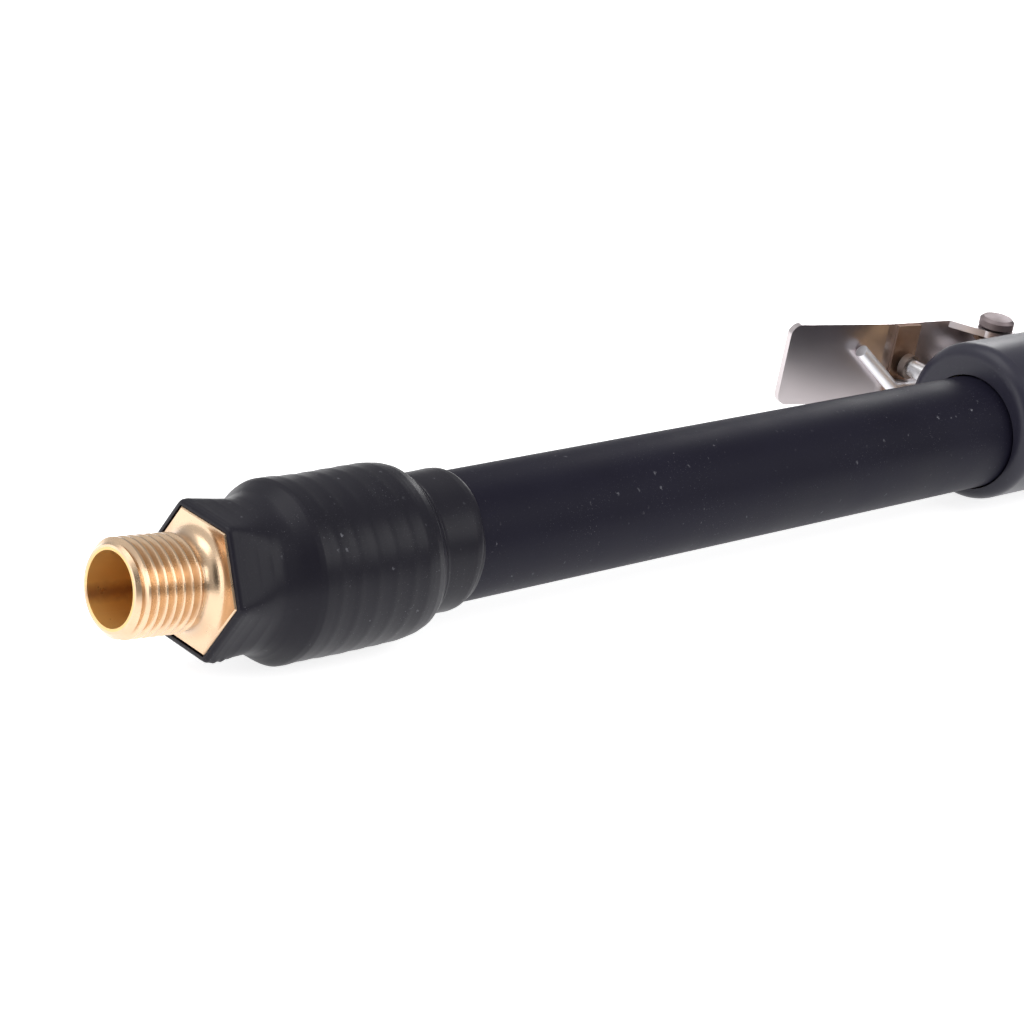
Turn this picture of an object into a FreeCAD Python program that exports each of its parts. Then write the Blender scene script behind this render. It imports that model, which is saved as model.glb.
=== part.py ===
import FreeCAD, Part
import math
import os
import re
import Sketcher

# A gas-cooled arc welding torch, lying on its side: power and gas come in through one rubber
# hose, a finger lever at the back of the handle opens the gas valve, and a copper neck carries
# the head. +X runs along the handle towards the head, +Y towards the lever, +Z is up, and the
# origin is on the handle's axis at the middle of the grip. All sizes are in millimetres.

os.makedirs("parts", exist_ok=True)
doc = FreeCAD.newDocument("torch")
dim = doc.addObject("Spreadsheet::Sheet", "dim")
Vector = FreeCAD.Vector

SIZES = [
    ("grip_length", 176.0, "handle tube, end to end"),
    ("grip_radius", 13.0, "outside of the handle tube"),
    ("grip_wall", 1.8, "wall of the handle tube"),
    ("grip_lip", 2.4, "rounding of the handle's rear rim"),
    ("mouth_wall", 3.0, "end wall that closes the handle round the hose"),
    ("mouth_gap", 0.3, "end wall to the hose"),
    ("hose_radius", 9.2, "outside of the rubber hose"),
    ("hose_bore", 6.4, "bore radius of the hose, as stretched over the barbs"),
    ("hose_sag", 1.6, "how far the hose lies off the handle's axis in the mouth"),
    ("sag_roll", 66.6, "direction of the sag and of the nipple's tilt, from +Y, in degrees"),
    ("hose_reach", 158.8, "hex face of the nipple to the handle's rear end, along the hose"),
    ("hose_tail", 3.5, "hose inside the handle's mouth"),
    ("nipple_tilt", 4.4, "tilt of the nipple's thread and hex from the hose, in degrees"),
    ("nipple_pivot", 14.0, "point that the nipple tilts about, in front of the hex face"),
    ("thread_radius", 6.579, "major radius of the quarter inch pipe thread"),
    ("thread_depth", 0.82, "depth of the thread's grooves"),
    ("thread_pitch", 1.337, "19 threads to the inch"),
    ("thread_length", 9.5, "threaded length"),
    ("thread_chamfer", 0.9, "chamfer of the thread's end"),
    ("neck_length", 3.2, "plain neck between the thread and the hex"),
    ("neck_radius", 5.9, "radius of the plain neck"),
    ("neck_flare", 2.0, "concave rounding between the neck and the hex face"),
    ("inlet_bore", 5.0, "bore radius of the nipple's thread end"),
    ("inlet_depth", 6.0, "wide bore, in front of the hex face"),
    ("hex_flats", 17.0, "across the flats of the nipple's hex"),
    ("hex_length", 9.0, "length of the hex"),
    ("hex_chamfer", 0.3, "chamfer round the hex face"),
    ("hex_roll", 28.0, "turn of the hex about the nipple, in degrees"),
    ("tail_root", 4.0, "root of the barbed tail inside the hex"),
    ("tail_length", 24.0, "barbed tail of a hose spigot"),
    ("tail_radius", 5.6, "root of the barbs"),
    ("barb_radius", 6.3, "crest of the barbs"),
    ("barb_start", 3.4, "root of the barbed tail to its first barb"),
    ("barb_pitch", 4.0, "from barb to barb"),
    ("tail_bore", 4.2, "bore radius of a hose spigot"),
    ("hose_start", 12.8, "hose end, in front of the hex face"),
    ("ferrule_start", 11.6, "rear face of the ferrule, in front of the hex face"),
    ("ferrule_length", 21.6, "length of the crimped ferrule"),
    ("ferrule_radius", 11.15, "ferrule between its ribs"),
    ("ferrule_edge", 1.2, "slope round the ferrule's rear face"),
    ("ferrule_floor", 0.7, "thickness of the ferrule's rear wall"),
    ("rib_height", 0.35, "height of the crimp ribs"),
    ("rib_pitch", 3.1, "from rib to rib"),
    ("sleeve_wall", 0.8, "wall of the shrunk sleeve"),
    ("sleeve_gap", 0.05, "sleeve to what it grips"),
    ("sleeve_waist", 0.4, "wall of the sleeve at the front end of the hex"),
    ("sleeve_hex_length", 8.2, "part of the sleeve that keeps the hex shape"),
    ("sleeve_length", 45.0, "length of the shrunk sleeve"),
    ("sleeve_step", 3.4, "length of the step down behind the ferrule"),
    ("sleeve_rib", 0.12, "height of the rings that show through the sleeve"),
    ("sleeve_lip", 0.65, "wall of the sleeve on the hose"),
    ("core_radius", 3.2, "radius of the stranded copper core"),
    ("lug_length", 14.0, "length of a crimped lug"),
    ("lug_radius", 4.1, "lug across its corners"),
    ("lug_margin", 1.0, "lug to the end of its spigot"),
    ("lug_floor", 1.0, "closed end of a lug"),
    ("core_gap", 0.5, "core to the closed end of its lug"),
    ("valve_back", 5.0, "rear face of the valve body, in front of the handle's end"),
    ("valve_length", 41.0, "length of the valve body"),
    ("valve_radius", 11.0, "radius of the valve body"),
    ("valve_x", 11.0, "valve axis, in front of the handle's end"),
    ("chamber_radius", 4.2, "valve chamber"),
    ("seat_y", 0.9, "height of the valve seat"),
    ("seat_radius", 2.4, "hole through the valve seat"),
    ("plug_thickness", 2.6, "plug that closes the chamber"),
    ("plug_depth", 1.2, "plug below the valve body's surface"),
    ("bonnet_radius", 4.0, "threaded part of the bonnet"),
    ("bonnet_depth", 5.0, "bonnet's depth in the valve body"),
    ("bonnet_flats", 9.0, "across the flats of the bonnet"),
    ("bonnet_top", 16.0, "top of the bonnet, from the handle's axis"),
    ("stem_radius", 1.5, "valve stem"),
    ("stem_fit", 0.05, "running clearance of a pin or stem"),
    ("stem_bottom", -4.0, "lower end of the stem"),
    ("cap_radius", 2.1, "push cap on the stem"),
    ("cap_height", 1.8, "height of the push cap"),
    ("rest_gap", 0.3, "gap between pieces that meet when the lever is pressed"),
    ("disc_radius", 3.5, "rubber valve disc"),
    ("disc_thickness", 1.6, "thickness of the valve disc"),
    ("valve_wire", 0.35, "wire radius of the valve spring"),
    ("valve_coil", 2.6, "mean radius of the valve spring"),
    ("neck_tube_radius", 6.0, "outside of the copper neck"),
    ("neck_tube_wall", 1.5, "wall of the copper neck"),
    ("neck_socket", 16.0, "depth of the neck's socket in the valve body"),
    ("neck_gap", 2.0, "gas space behind the neck tube"),
    ("outlet_y", 3.6, "height of the gas outlet drilling"),
    ("drill_radius", 1.4, "gas drillings"),
    ("hinge_x", 26.5, "hinge pin, in front of the handle's end"),
    ("hinge_y", 17.2, "hinge pin, from the handle's axis"),
    ("pin_radius", 1.5, "hinge pin"),
    ("pin_head", 3.0, "head of the hinge pin"),
    ("pin_head_height", 1.6, "height of the pin's head"),
    ("lever_width", 14.4, "width of the lever's plate"),
    ("lever_sheet", 1.2, "thickness of the lever's plate"),
    ("lever_rear_x", -12.2, "rear end of the lever, from the handle's end"),
    ("lever_rear_y", 30.3, "rear end of the lever, from the handle's axis"),
    ("lever_bend_x", 6.8, "bend of the lever, from the handle's end"),
    ("lever_bend_y", 25.17, "bend of the lever, from the handle's axis"),
    ("lever_front_x", 33.0, "front end of the lever"),
    ("lever_front_y", 21.2, "front end of the lever, from the handle's axis"),
    ("lever_corner", 2.0, "rounded corners of the lever"),
    ("ear_reach", 3.4, "lever ear round the pin"),
    ("ear_gap", 0.3, "side clearance between the ears"),
    ("pad_width", 5.0, "brass wear pad, along the lever"),
    ("pad_thickness", 0.5, "thickness of the wear pad"),
    ("bracket_back", 16.7, "rear end of the bracket"),
    ("bracket_front", 44.5, "front end of the bracket"),
    ("bracket_sheet", 0.8, "thickness of the bracket"),
    ("bracket_window_back", 21.6, "rear edge of the window under the spring"),
    ("bracket_window_front", 31.4, "front edge of the window under the spring"),
    ("screw_rear_x", 35.2, "rear bracket screw"),
    ("screw_front_x", 41.0, "front bracket screw"),
    ("screw_radius", 1.25, "bracket screws"),
    ("screw_head", 2.3, "head of a bracket screw"),
    ("spring_wire", 1.15, "wire radius of the lever spring"),
    ("spring_coil", 2.9, "mean radius of the lever spring"),
    ("spring_pitch", 2.8, "pitch of the lever spring"),
    ("short_leg", 6.0, "short leg of the spring, on the saddle"),
    ("short_leg_rise", 0.5, "rise of the short leg over the saddle"),
    ("leg_bend_x", 8.4, "bend of the spring's long leg"),
    ("leg_drop", 0.5, "long leg's bend below the line along the plate"),
    ("leg_tip_x", 0.75, "tip of the long leg"),
    ("leg_tip_z", 3.0, "height of the leg's tip"),
    ("nose_length", 24.0, "cone in front of the handle"),
    ("nose_spigot", 16.0, "part of the cone inside the handle"),
    ("nose_radius", 10.4, "small end of the cone"),
    ("head_reach", 45.0, "handle's front end to the head's axis"),
    ("head_angle", 70.0, "between the handle and the cup's axis, in degrees"),
    ("head_radius", 12.0, "outside of the head's insulator"),
    ("head_overhang", 1.0, "insulator beyond the copper body, at each end"),
    ("branch_radius", 8.6, "insulator round the neck"),
    ("core_body_radius", 7.6, "copper body of the head"),
    ("core_body_half", 18.0, "half the copper body's length"),
    ("core_body_bore", 4.6, "bore of the copper body"),
    ("socket_depth", 9.5, "thread sockets of the head"),
    ("front_socket", 5.4, "radius of the collet body's socket"),
    ("back_socket", 6.0, "radius of the back cap's socket"),
    ("thread_fit", 0.08, "clearance between threaded pieces"),
    ("gasket_thickness", 3.0, "white gasket in front of the head"),
    ("gasket_radius", 9.8, "outside of the white gasket"),
    ("collet_body_end", 45.0, "front end of the collet body, from the head's centre"),
    ("collet_body_nose", 4.6, "outside of the collet body's nose"),
    ("collet_radius", 2.3, "outside of the collet"),
    ("collet_start", -12.0, "rear end of the collet"),
    ("collet_end", 42.5, "front end of the collet"),
    ("collet_body_bore", 3.0, "bore of the collet body"),
    ("collet_bore", 1.25, "bore of the collet"),
    ("collet_slit", 0.5, "width of the slits in the collet"),
    ("electrode_radius", 1.2, "tungsten electrode"),
    ("electrode_length", 150.0, "length of the electrode"),
    ("electrode_stickout", 5.5, "electrode in front of the cup"),
    ("electrode_point", 5.0, "length of the ground point"),
    ("cup_end", 62.0, "front end of the cup, from the head's centre"),
    ("cup_collar", 9.0, "radius of the cup's collar"),
    ("cup_collar_length", 12.0, "length of the cup's collar"),
    ("cup_tip", 7.0, "outside of the cup's mouth"),
    ("cup_mouth", 4.8, "mouth radius of the cup"),
    ("cup_room", 6.2, "inside of the cup"),
    ("backcap_room", 5.5, "free length behind the electrode"),
    ("backcap_floor", 4.0, "closed end of the back cap"),
    ("backcap_collar", 8.6, "radius of the back cap's collar"),
    ("backcap_collar_length", 14.0, "length of the fluted collar"),
    ("backcap_tail", 6.0, "radius of the back cap's end"),
    ("backcap_bore", 3.0, "bore of the back cap"),
    ("oring_wire", 0.9, "section radius of the back cap's ring"),
    ("flute_radius", 0.9, "flutes of the collars"),
]

for row, (alias, amount, note) in enumerate(SIZES, 1):
    dim.set(f"A{row}", alias)
    dim.set(f"B{row}", str(amount))
    dim.set(f"C{row}", note)
    dim.setAlias(f"B{row}", alias)
doc.recompute()

RIB_COUNT = 6
BARB_COUNT = 5
FLUTE_COUNT = 12
SPRING_TURNS = 2
HEX_SIDES = 6
FULL_TURN = 360
NODES = []


def read(size):
    """A size as a number: a plain number, or an expression on the sheet's aliases."""
    if isinstance(size, str):
        return float(dim.evalExpression(size))
    return float(size)


def bound(expression):
    """The expression as another object reads it, with the sheet's name before each alias."""
    return re.sub(r"\b([a-z]+(?:_[a-z]+)+)\b", r"dim.\1", expression)


def spot(x, y, z):
    return Vector(read(x), read(y), read(z))


def node(shape_object, label, placement=None):
    """Names a finished sub-part and puts it in its place."""
    shape_object.Label = label
    if placement is not None:
        shape_object.Placement = placement
    NODES.append(shape_object)
    return shape_object


def origin_plane(body, role):
    return [feature for feature in body.Origin.OriginFeatures if feature.Role == role][0]


def outline_sketch(body, points, role="XY_Plane"):
    """A closed outline whose corners are bound to the sheet by expressions."""
    sketch = body.newObject("Sketcher::SketchObject", body.Name + "_outline")
    sketch.AttachmentSupport = [(origin_plane(body, role), "")]
    sketch.MapMode = "FlatFace"
    corners = [Vector(read(x), read(y), 0) for x, y in points]
    count = len(corners)
    for i in range(count):
        sketch.addGeometry(Part.LineSegment(corners[i], corners[(i + 1) % count]), False)
    for i in range(count):
        sketch.addConstraint(Sketcher.Constraint("Coincident", i, 2, (i + 1) % count, 1))
    for i, (x, y) in enumerate(points):
        bind_corner(sketch, i, "DistanceX", corners[i].x, x, -2)
        bind_corner(sketch, i, "DistanceY", corners[i].y, y, -1)
    return sketch


def bind_corner(sketch, corner, kind, amount, expression, axis):
    """Holds one coordinate of a corner: on the axis where it is zero, else at its expression."""
    if abs(amount) < 1e-9:
        sketch.addConstraint(Sketcher.Constraint("PointOnObject", corner, 1, axis))
        return
    index = sketch.addConstraint(Sketcher.Constraint(kind, -1, 1, corner, 1, amount))
    if isinstance(expression, str):
        sketch.setExpression(f"Constraints[{index}]", bound(expression))


def turned(name, points):
    """A body turned about its own X axis from an outline of (x, radius) corners."""
    body = doc.addObject("PartDesign::Body", name)
    sketch = outline_sketch(body, points)
    turn = body.newObject("PartDesign::Revolution", name + "_turn")
    turn.Profile = sketch
    turn.ReferenceAxis = (sketch, ["H_Axis"])
    turn.Angle = 360
    doc.recompute()
    return body


def padded(name, points, width, role="XY_Plane"):
    """A body padded evenly to both sides of the plane that its outline lies in."""
    body = doc.addObject("PartDesign::Body", name)
    sketch = outline_sketch(body, points, role)
    pad = body.newObject("PartDesign::Pad", name + "_pad")
    pad.Profile = sketch
    pad.Midplane = True
    pad.Length = read(width)
    if isinstance(width, str):
        pad.setExpression("Length", bound(width))
    doc.recompute()
    return body


def bar(name, radius, length, start, direction=Vector(1, 0, 0)):
    """A cylinder from a start point along a direction."""
    rod = doc.addObject("Part::Cylinder", name)
    for field, size in (("Radius", radius), ("Height", length)):
        setattr(rod, field, read(size))
        if isinstance(size, str):
            rod.setExpression(field, bound(size))
    rod.Placement = FreeCAD.Placement(start, FreeCAD.Rotation(Vector(0, 0, 1), direction))
    return rod


def hexagon_bar(name, flats, length, start, direction=Vector(1, 0, 0)):
    """A hexagonal prism of a width across its flats."""
    prism = doc.addObject("Part::Prism", name)
    prism.Polygon = 6
    prism.Circumradius = read(flats) / math.sqrt(3)
    prism.setExpression("Circumradius", bound(f"({flats}) / sqrt(3)"))
    prism.Height = read(length)
    prism.setExpression("Height", bound(length))
    prism.Placement = FreeCAD.Placement(start, FreeCAD.Rotation(Vector(0, 0, 1), direction))
    return prism


def joined(name, pieces):
    fusion = doc.addObject("Part::MultiFuse", name)
    fusion.Shapes = pieces
    fusion.Refine = True
    doc.recompute()
    return fusion


def cut(name, base, tools):
    """The base with each tool cut away."""
    for number, tool in enumerate(tools, 1):
        result = doc.addObject("Part::Cut", name if number == len(tools) else f"{name}_cut{number}")
        result.Base = base
        result.Tool = tool
        base = result
    doc.recompute()
    return base


def common(name, first, second):
    result = doc.addObject("Part::Common", name)
    result.Base = first
    result.Tool = second
    doc.recompute()
    return result


def set_shape(name, shape):
    feature = doc.addObject("Part::Feature", name)
    feature.Shape = shape
    return feature


def box(name, low, high):
    """A block between two corners, each an (x, y, z) of numbers or expressions."""
    block = doc.addObject("Part::Box", name)
    for field, start, end in zip(("Length", "Width", "Height"), low, high):
        setattr(block, field, read(end) - read(start))
        block.setExpression(field, bound(f"({end}) - ({start})"))
    block.Placement.Base = spot(*low)
    return block


def rounded(name, base, radius, chosen, kind="Part::Fillet"):
    """The base with a fillet, or a chamfer, on each edge that the test picks."""
    fillet = doc.addObject(kind, name)
    fillet.Base = base
    picked = [i for i, edge in enumerate(base.Shape.Edges, 1) if chosen(edge)]
    fillet.Edges = [(i, read(radius), read(radius)) for i in picked]
    doc.recompute()
    return fillet


def tangent_arc(start, corner, end):
    """The arc from start to end whose tangents meet at the corner, at equal distances."""
    middle = (start + end) * 0.5
    half = (end - start).Length / 2
    rise = (corner - middle).Length
    sagitta = half * math.tan(math.atan2(rise, half) / 2)
    return Part.Arc(start, middle + (corner - middle) * (sagitta / rise), end).toShape()


def biarc(start, leave, end, arrive):
    """Two arcs that join a start and an end with the given unit tangents."""
    span = end - start
    both = leave + arrive
    spread = 2 * (1 - leave.dot(arrive))
    along = span.dot(both)
    reach = (math.sqrt(along * along + spread * span.dot(span)) - along) / spread
    first = start + leave * reach
    second = end - arrive * reach
    middle = (first + second) * 0.5
    return [tangent_arc(start, first, middle), tangent_arc(middle, second, end)]


def helix_arcs(radius, pitch, first_angle, sweep, first_height, place):
    """A helix about the local Z axis as biarcs of at most a quarter turn, put in place."""
    steps = math.ceil(abs(sweep) / 90)
    climb = pitch / (2 * math.pi * radius) * (1 if sweep > 0 else -1)

    def at(step):
        angle = math.radians(first_angle + sweep * step / steps)
        height = first_height + pitch * sweep * step / steps / 360
        spin = 1 if sweep > 0 else -1
        point = Vector(radius * math.cos(angle), radius * math.sin(angle), height)
        heading = Vector(-spin * math.sin(angle), spin * math.cos(angle), spin * climb)
        return place.multVec(point), place.Rotation.multVec(heading.normalize())

    marks = [at(step) for step in range(steps + 1)]
    arcs = []
    for (start, leave), (end, arrive) in zip(marks, marks[1:]):
        arcs += biarc(start, leave, end, arrive)
    return arcs, marks[0], marks[-1]


def tube_along(edges, radius):
    """A round tube along tangent edges, given in order."""
    first = edges[0]
    start, heading = first.valueAt(first.FirstParameter), first.tangentAt(first.FirstParameter)
    shell = Part.BRepOffsetAPI.MakePipeShell(Part.Wire(edges))
    shell.add(Part.Wire(Part.makeCircle(radius, start, heading)))
    shell.build()
    shell.makeSolid()
    return shell.shape()


def least_self_gap(points, wire_radius, reach):
    """The least gap between stretches of a wire that are further apart along it than reach."""
    spacing = (points[1] - points[0]).Length
    skip = max(1, int(reach / spacing))
    least = min(
        (points[i] - points[j]).Length
        for i in range(len(points))
        for j in range(i + skip, len(points))
    )
    return least - 2 * wire_radius


REAR = "-grip_length / 2"
FRONT = "grip_length / 2"
HEAD_HALF = "(core_body_half + head_overhang)"
ELECTRODE_TAIL = "(electrode_length - cup_end - electrode_stickout)"
BACKCAP_END = f"({ELECTRODE_TAIL} + backcap_room + backcap_floor)"


def rear(offset):
    """An expression for a place in front of the handle's rear end."""
    return f"({offset}) - grip_length / 2"


SAG_DIRECTION = Vector(
    0, math.cos(math.radians(read("sag_roll"))), math.sin(math.radians(read("sag_roll")))
)
MOUTH = spot(REAR, 0, 0) - SAG_DIRECTION * read("hose_sag")


def hose_place(distance):
    """A point on the hose's line, that far behind the mouth."""
    return MOUTH - Vector(read(distance), 0, 0)


def hose_bar(name, radius, front, back):
    """A round bar along the hose's line, between two distances behind the mouth."""
    return bar(name, radius, f"({back}) - ({front})", hose_place(back))


def fitting_frame():
    """The frame of the nipple's hex and thread: X from the hex face, tilted from the hose."""
    tilt = math.radians(read("nipple_tilt"))
    inward = Vector(math.cos(tilt), 0, 0) - SAG_DIRECTION * math.sin(tilt)
    spin = FreeCAD.Rotation(inward, Vector(0, 0, 0), Vector(0, 0, 1), "XZY")
    roll = FreeCAD.Rotation(Vector(1, 0, 0), read("hex_roll"))
    start = hose_place("hose_reach - nipple_pivot") - inward * read("nipple_pivot")
    return FreeCAD.Placement(start, spin.multiply(roll))


def head_frame():
    """The frame of the head: X along the cup's axis, towards the work."""
    angle = math.radians(read("head_angle"))
    cup_axis = Vector(math.cos(angle), -math.sin(angle), 0)
    spin = FreeCAD.Rotation(cup_axis, Vector(0, 0, 0), Vector(0, 0, 1), "XZY")
    return FreeCAD.Placement(spot(f"{FRONT} + head_reach", 0, 0), spin)


HOSE_END = FreeCAD.Placement(hose_place("hose_reach"), FreeCAD.Rotation())
FITTING = fitting_frame()
LEAN = HOSE_END.inverse().multiply(FITTING)
HEAD = head_frame()


def barbed_tail(name, start):
    """A hose spigot along local X, with barbs that face back to its root."""
    outline = [(start, 0), (start, "tail_radius")]
    for barb in range(BARB_COUNT):
        shoulder = f"{start} + barb_start + barb_pitch * {barb}"
        outline += [
            (shoulder, "tail_radius"),
            (shoulder, "barb_radius"),
            (f"{shoulder} + barb_pitch * 0.75", "tail_radius"),
        ]
    outline += [(f"{start} + tail_length", "tail_radius"), (f"{start} + tail_length", 0)]
    return turned(name, outline)


def thread_groove():
    """The helical groove of the pipe thread, about local X, open at the thread's end."""
    pitch, radius, depth = read("thread_pitch"), read("thread_radius"), read("thread_depth")
    over = 0.25
    slope = math.tan(math.radians(27.5))
    root = 0.05
    height = read("thread_length") + 1.5 * pitch
    half = root + (depth + over) * slope
    corners = [
        Vector(radius - depth, 0, -root),
        Vector(radius + over, 0, -half),
        Vector(radius + over, 0, half),
        Vector(radius - depth, 0, root),
    ]
    profile = Part.makePolygon(corners + corners[:1])
    shell = Part.BRepOffsetAPI.MakePipeShell(Part.makeLongHelix(pitch, height, radius))
    shell.setFrenetMode(True)
    shell.add(profile)
    shell.build()
    shell.makeSolid()
    groove = set_shape("thread_groove", shell.shape())
    groove.Placement = FreeCAD.Placement(
        spot("-neck_length - thread_length - thread_pitch", 0, 0),
        FreeCAD.Rotation(Vector(0, 0, 1), Vector(1, 0, 0)),
    )
    return groove


def hose_nipple():
    """The brass nipple: pipe thread, plain neck, hex and barbed tail, bored through."""
    end = "-neck_length - thread_length"
    neck_room = "neck_length - thread_depth - 0.2"
    face_room = "hex_flats / 2 - hex_chamfer - neck_radius - 0.1"
    blank = turned("nipple_blank", [
        (end, 0),
        (end, "thread_radius - thread_chamfer"),
        (f"{end} + thread_chamfer", "thread_radius"),
        ("-neck_length", "thread_radius"),
        ("-neck_length + thread_depth", "neck_radius"),
        ("hex_length", "neck_radius"),
        ("hex_length", 0),
    ])
    hexagon = hexagon_bar("nipple_hex", "hex_flats", "hex_length", Vector(0, 0, 0))
    doc.recompute()

    def at_face(edge):
        return abs(edge.BoundBox.XLength) < 1e-6 and abs(edge.CenterOfMass.x) < 1e-6

    hexagon = rounded("nipple_hex_chamfered", hexagon, "hex_chamfer", at_face, "Part::Chamfer")
    front = joined("nipple_front", [blank, hexagon])
    front = rounded("nipple_flared", front, f"min(neck_flare; {neck_room}; {face_room})",
                    lambda edge: at_face(edge) and edge.Curve.TypeId == "Part::GeomCircle")
    turned_front = cut("nipple_threaded", front, [thread_groove()])
    print("thread groove takes away:", round(front.Shape.Volume - turned_front.Shape.Volume, 1))
    turned_front.Placement = LEAN
    root = bar("nipple_root", "tail_radius", "tail_root", spot("hex_length - tail_root", 0, 0))
    solid = joined("nipple_solid", [turned_front, root, barbed_tail("nipple_tail", "hex_length")])
    wide = bar("nipple_inlet", "inlet_bore", "neck_length + thread_length + inlet_depth", spot(end, 0, 0))
    wide.Placement = LEAN.multiply(wide.Placement)
    narrow = bar("nipple_bore", "tail_bore", "hex_length + tail_length", spot("inlet_depth - 1", 0, 0))
    return node(cut("nipple", solid, [wide, narrow]), "hose_nipple", HOSE_END)


def ribbed(start, count, low, height):
    """Outline corners of shallow rings, from a place along X at a radius."""
    corners = []
    for rib in range(count):
        back = f"{start} + rib_pitch * {rib}"
        corners += [(back, low), (f"{back} + rib_pitch * 0.35", f"{low} + {height}")]
        corners += [(f"{back} + rib_pitch * 0.65", f"{low} + {height}")]
    return corners + [(f"{start} + rib_pitch * {count}", low)]


def crimp_ferrule():
    """The ribbed ferrule that clamps the hose on the nipple's tail."""
    end = "ferrule_start + ferrule_length"
    outline = [
        ("ferrule_start", "tail_radius + sleeve_gap"),
        ("ferrule_start", "ferrule_radius - ferrule_edge"),
    ]
    outline += ribbed("ferrule_start + ferrule_edge", RIB_COUNT, "ferrule_radius", "rib_height")
    outline += [
        (end, "ferrule_radius"),
        (end, "hose_radius + sleeve_gap"),
        ("ferrule_start + ferrule_floor", "hose_radius + sleeve_gap"),
        ("ferrule_start + ferrule_floor", "tail_radius + sleeve_gap"),
    ]
    return node(turned("ferrule", outline), "crimp_ferrule", HOSE_END)


def hex_corner(side):
    """The angle of a corner of the hexagon about local X, in degrees from local Y."""
    return FULL_TURN / HEX_SIDES * (side + 0.5)


def rounded_hexagon(flats, corner, x):
    """A hexagon with rounded corners across local X, as twelve edges."""
    half_side = math.radians(FULL_TURN / HEX_SIDES / 2)
    reach = flats / 2 / math.cos(half_side)
    legs = corner * math.tan(half_side)
    edges, last = [], None
    for side in range(HEX_SIDES):
        tilt = math.radians(hex_corner(side))
        tip = Vector(x, reach * math.cos(tilt), reach * math.sin(tilt))
        before = Vector(0, -math.sin(tilt - half_side), math.cos(tilt - half_side))
        after = Vector(0, -math.sin(tilt + half_side), math.cos(tilt + half_side))
        begin, finish = tip - before * legs, tip + after * legs
        if last is not None:
            edges.append(Part.LineSegment(last, begin).toShape())
        edges.append(tangent_arc(begin, tip, finish))
        last = finish
    edges.append(Part.LineSegment(last, edges[0].Vertexes[0].Point).toShape())
    return Part.Wire(edges)


def split_circle(radius, corner_half_angle, x, roll):
    """A circle across X in twelve arcs that match a rolled hexagon's edges."""
    def point(degrees):
        angle = math.radians(degrees + roll)
        return Vector(x, radius * math.cos(angle), radius * math.sin(angle))

    edges = []
    for side in range(HEX_SIDES):
        middle = hex_corner(side)
        low, high = middle - corner_half_angle, middle + corner_half_angle
        following = hex_corner(side + 1) - corner_half_angle
        edges.append(Part.Arc(point(low), point(middle), point(high)).toShape())
        edges.append(Part.Arc(point(high), point((high + following) / 2), point(following)).toShape())
    return Part.Wire(edges)


def heat_shrink_sleeve():
    """The shrunk sleeve: it keeps the hex's shape at one end and grips the hose at the other."""
    flats = read("hex_flats + 2 * sleeve_gap + 2 * sleeve_wall")
    waist = read("hex_flats + 2 * sleeve_gap + 2 * sleeve_waist")
    over = "(ferrule_radius + rib_height + sleeve_gap + sleeve_wall)"
    corner = read("sleeve_wall") * 1.6
    tip = flats / 2 / math.cos(math.radians(30))
    legs = corner * math.tan(math.radians(30))
    half_angle = math.degrees(math.atan2(legs * math.cos(math.radians(30)), tip - legs / 2))
    shoulder = read("ferrule_start") - 0.6
    neck = read(f"{over} - sleeve_wall * 1.2")
    hexagons = [
        rounded_hexagon(flats, corner, read("sleeve_gap")),
        rounded_hexagon(waist, corner, read("sleeve_hex_length")),
    ]
    for hexagon in hexagons:
        hexagon.Placement = LEAN
    circle = split_circle(neck, half_angle, shoulder, read("hex_roll"))
    front = Part.makeLoft(hexagons + [circle], True, True)
    hexagon_end = set_shape("sleeve_hex_end", front)
    end = "ferrule_start + ferrule_length"
    grip = "(hose_radius + sleeve_gap + sleeve_lip)"
    outline = [(shoulder, 0), (shoulder, neck), ("ferrule_start + 0.8", f"{over} - sleeve_rib")]
    outline += ribbed("ferrule_start + 1.8", RIB_COUNT, f"{over} - sleeve_rib", "sleeve_rib")
    for share, fullness in ((0.05, 0.86), (0.35, 0.62), (0.65, 0.36), (1.0, 0.05)):
        height = f"{grip} + ({over} - {grip}) * {fullness}"
        outline.append((f"{end} + sleeve_step * {share}", height))
    outline += [
        ("sleeve_length", grip),
        ("sleeve_length", 0),
    ]
    outside = joined("sleeve_outside", [hexagon_end, turned("sleeve_turned", outline)])
    void_hexagon = hexagon_bar(
        "sleeve_hex_void", "hex_flats + 2 * sleeve_gap", "ferrule_start + 1", Vector(-1, 0, 0))
    void_hexagon.Placement = LEAN.multiply(void_hexagon.Placement)
    room = "ferrule_radius + rib_height + sleeve_gap"
    grip_inside = "hose_radius + sleeve_gap"
    void = turned("sleeve_void", [
        ("ferrule_start - 1.2", 0),
        ("ferrule_start - 1.2", "ferrule_radius - ferrule_edge + 0.2"),
        ("ferrule_start + ferrule_edge", room),
        (f"{end} + sleeve_gap", room),
        (f"{end} + sleeve_step * 0.7", grip_inside),
        ("sleeve_length + 1", grip_inside),
        ("sleeve_length + 1", 0),
    ])
    sleeve = cut("sleeve", outside, [void_hexagon, void])
    return node(sleeve, "heat_shrink_sleeve", HOSE_END)


def power_hose():
    """The rubber hose, from inside the handle's mouth to inside the ferrule."""
    front, back = "-hose_tail", "hose_reach - hose_start"
    outside = hose_bar("hose_outside", "hose_radius", front, back)
    inside = hose_bar("hose_inside", "hose_bore", f"{front} - 1", f"{back} + 1")
    print("length of the hose:", round(read(f"({back}) - ({front})"), 1))
    return node(cut("hose", outside, [inside]), "power_hose")


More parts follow.
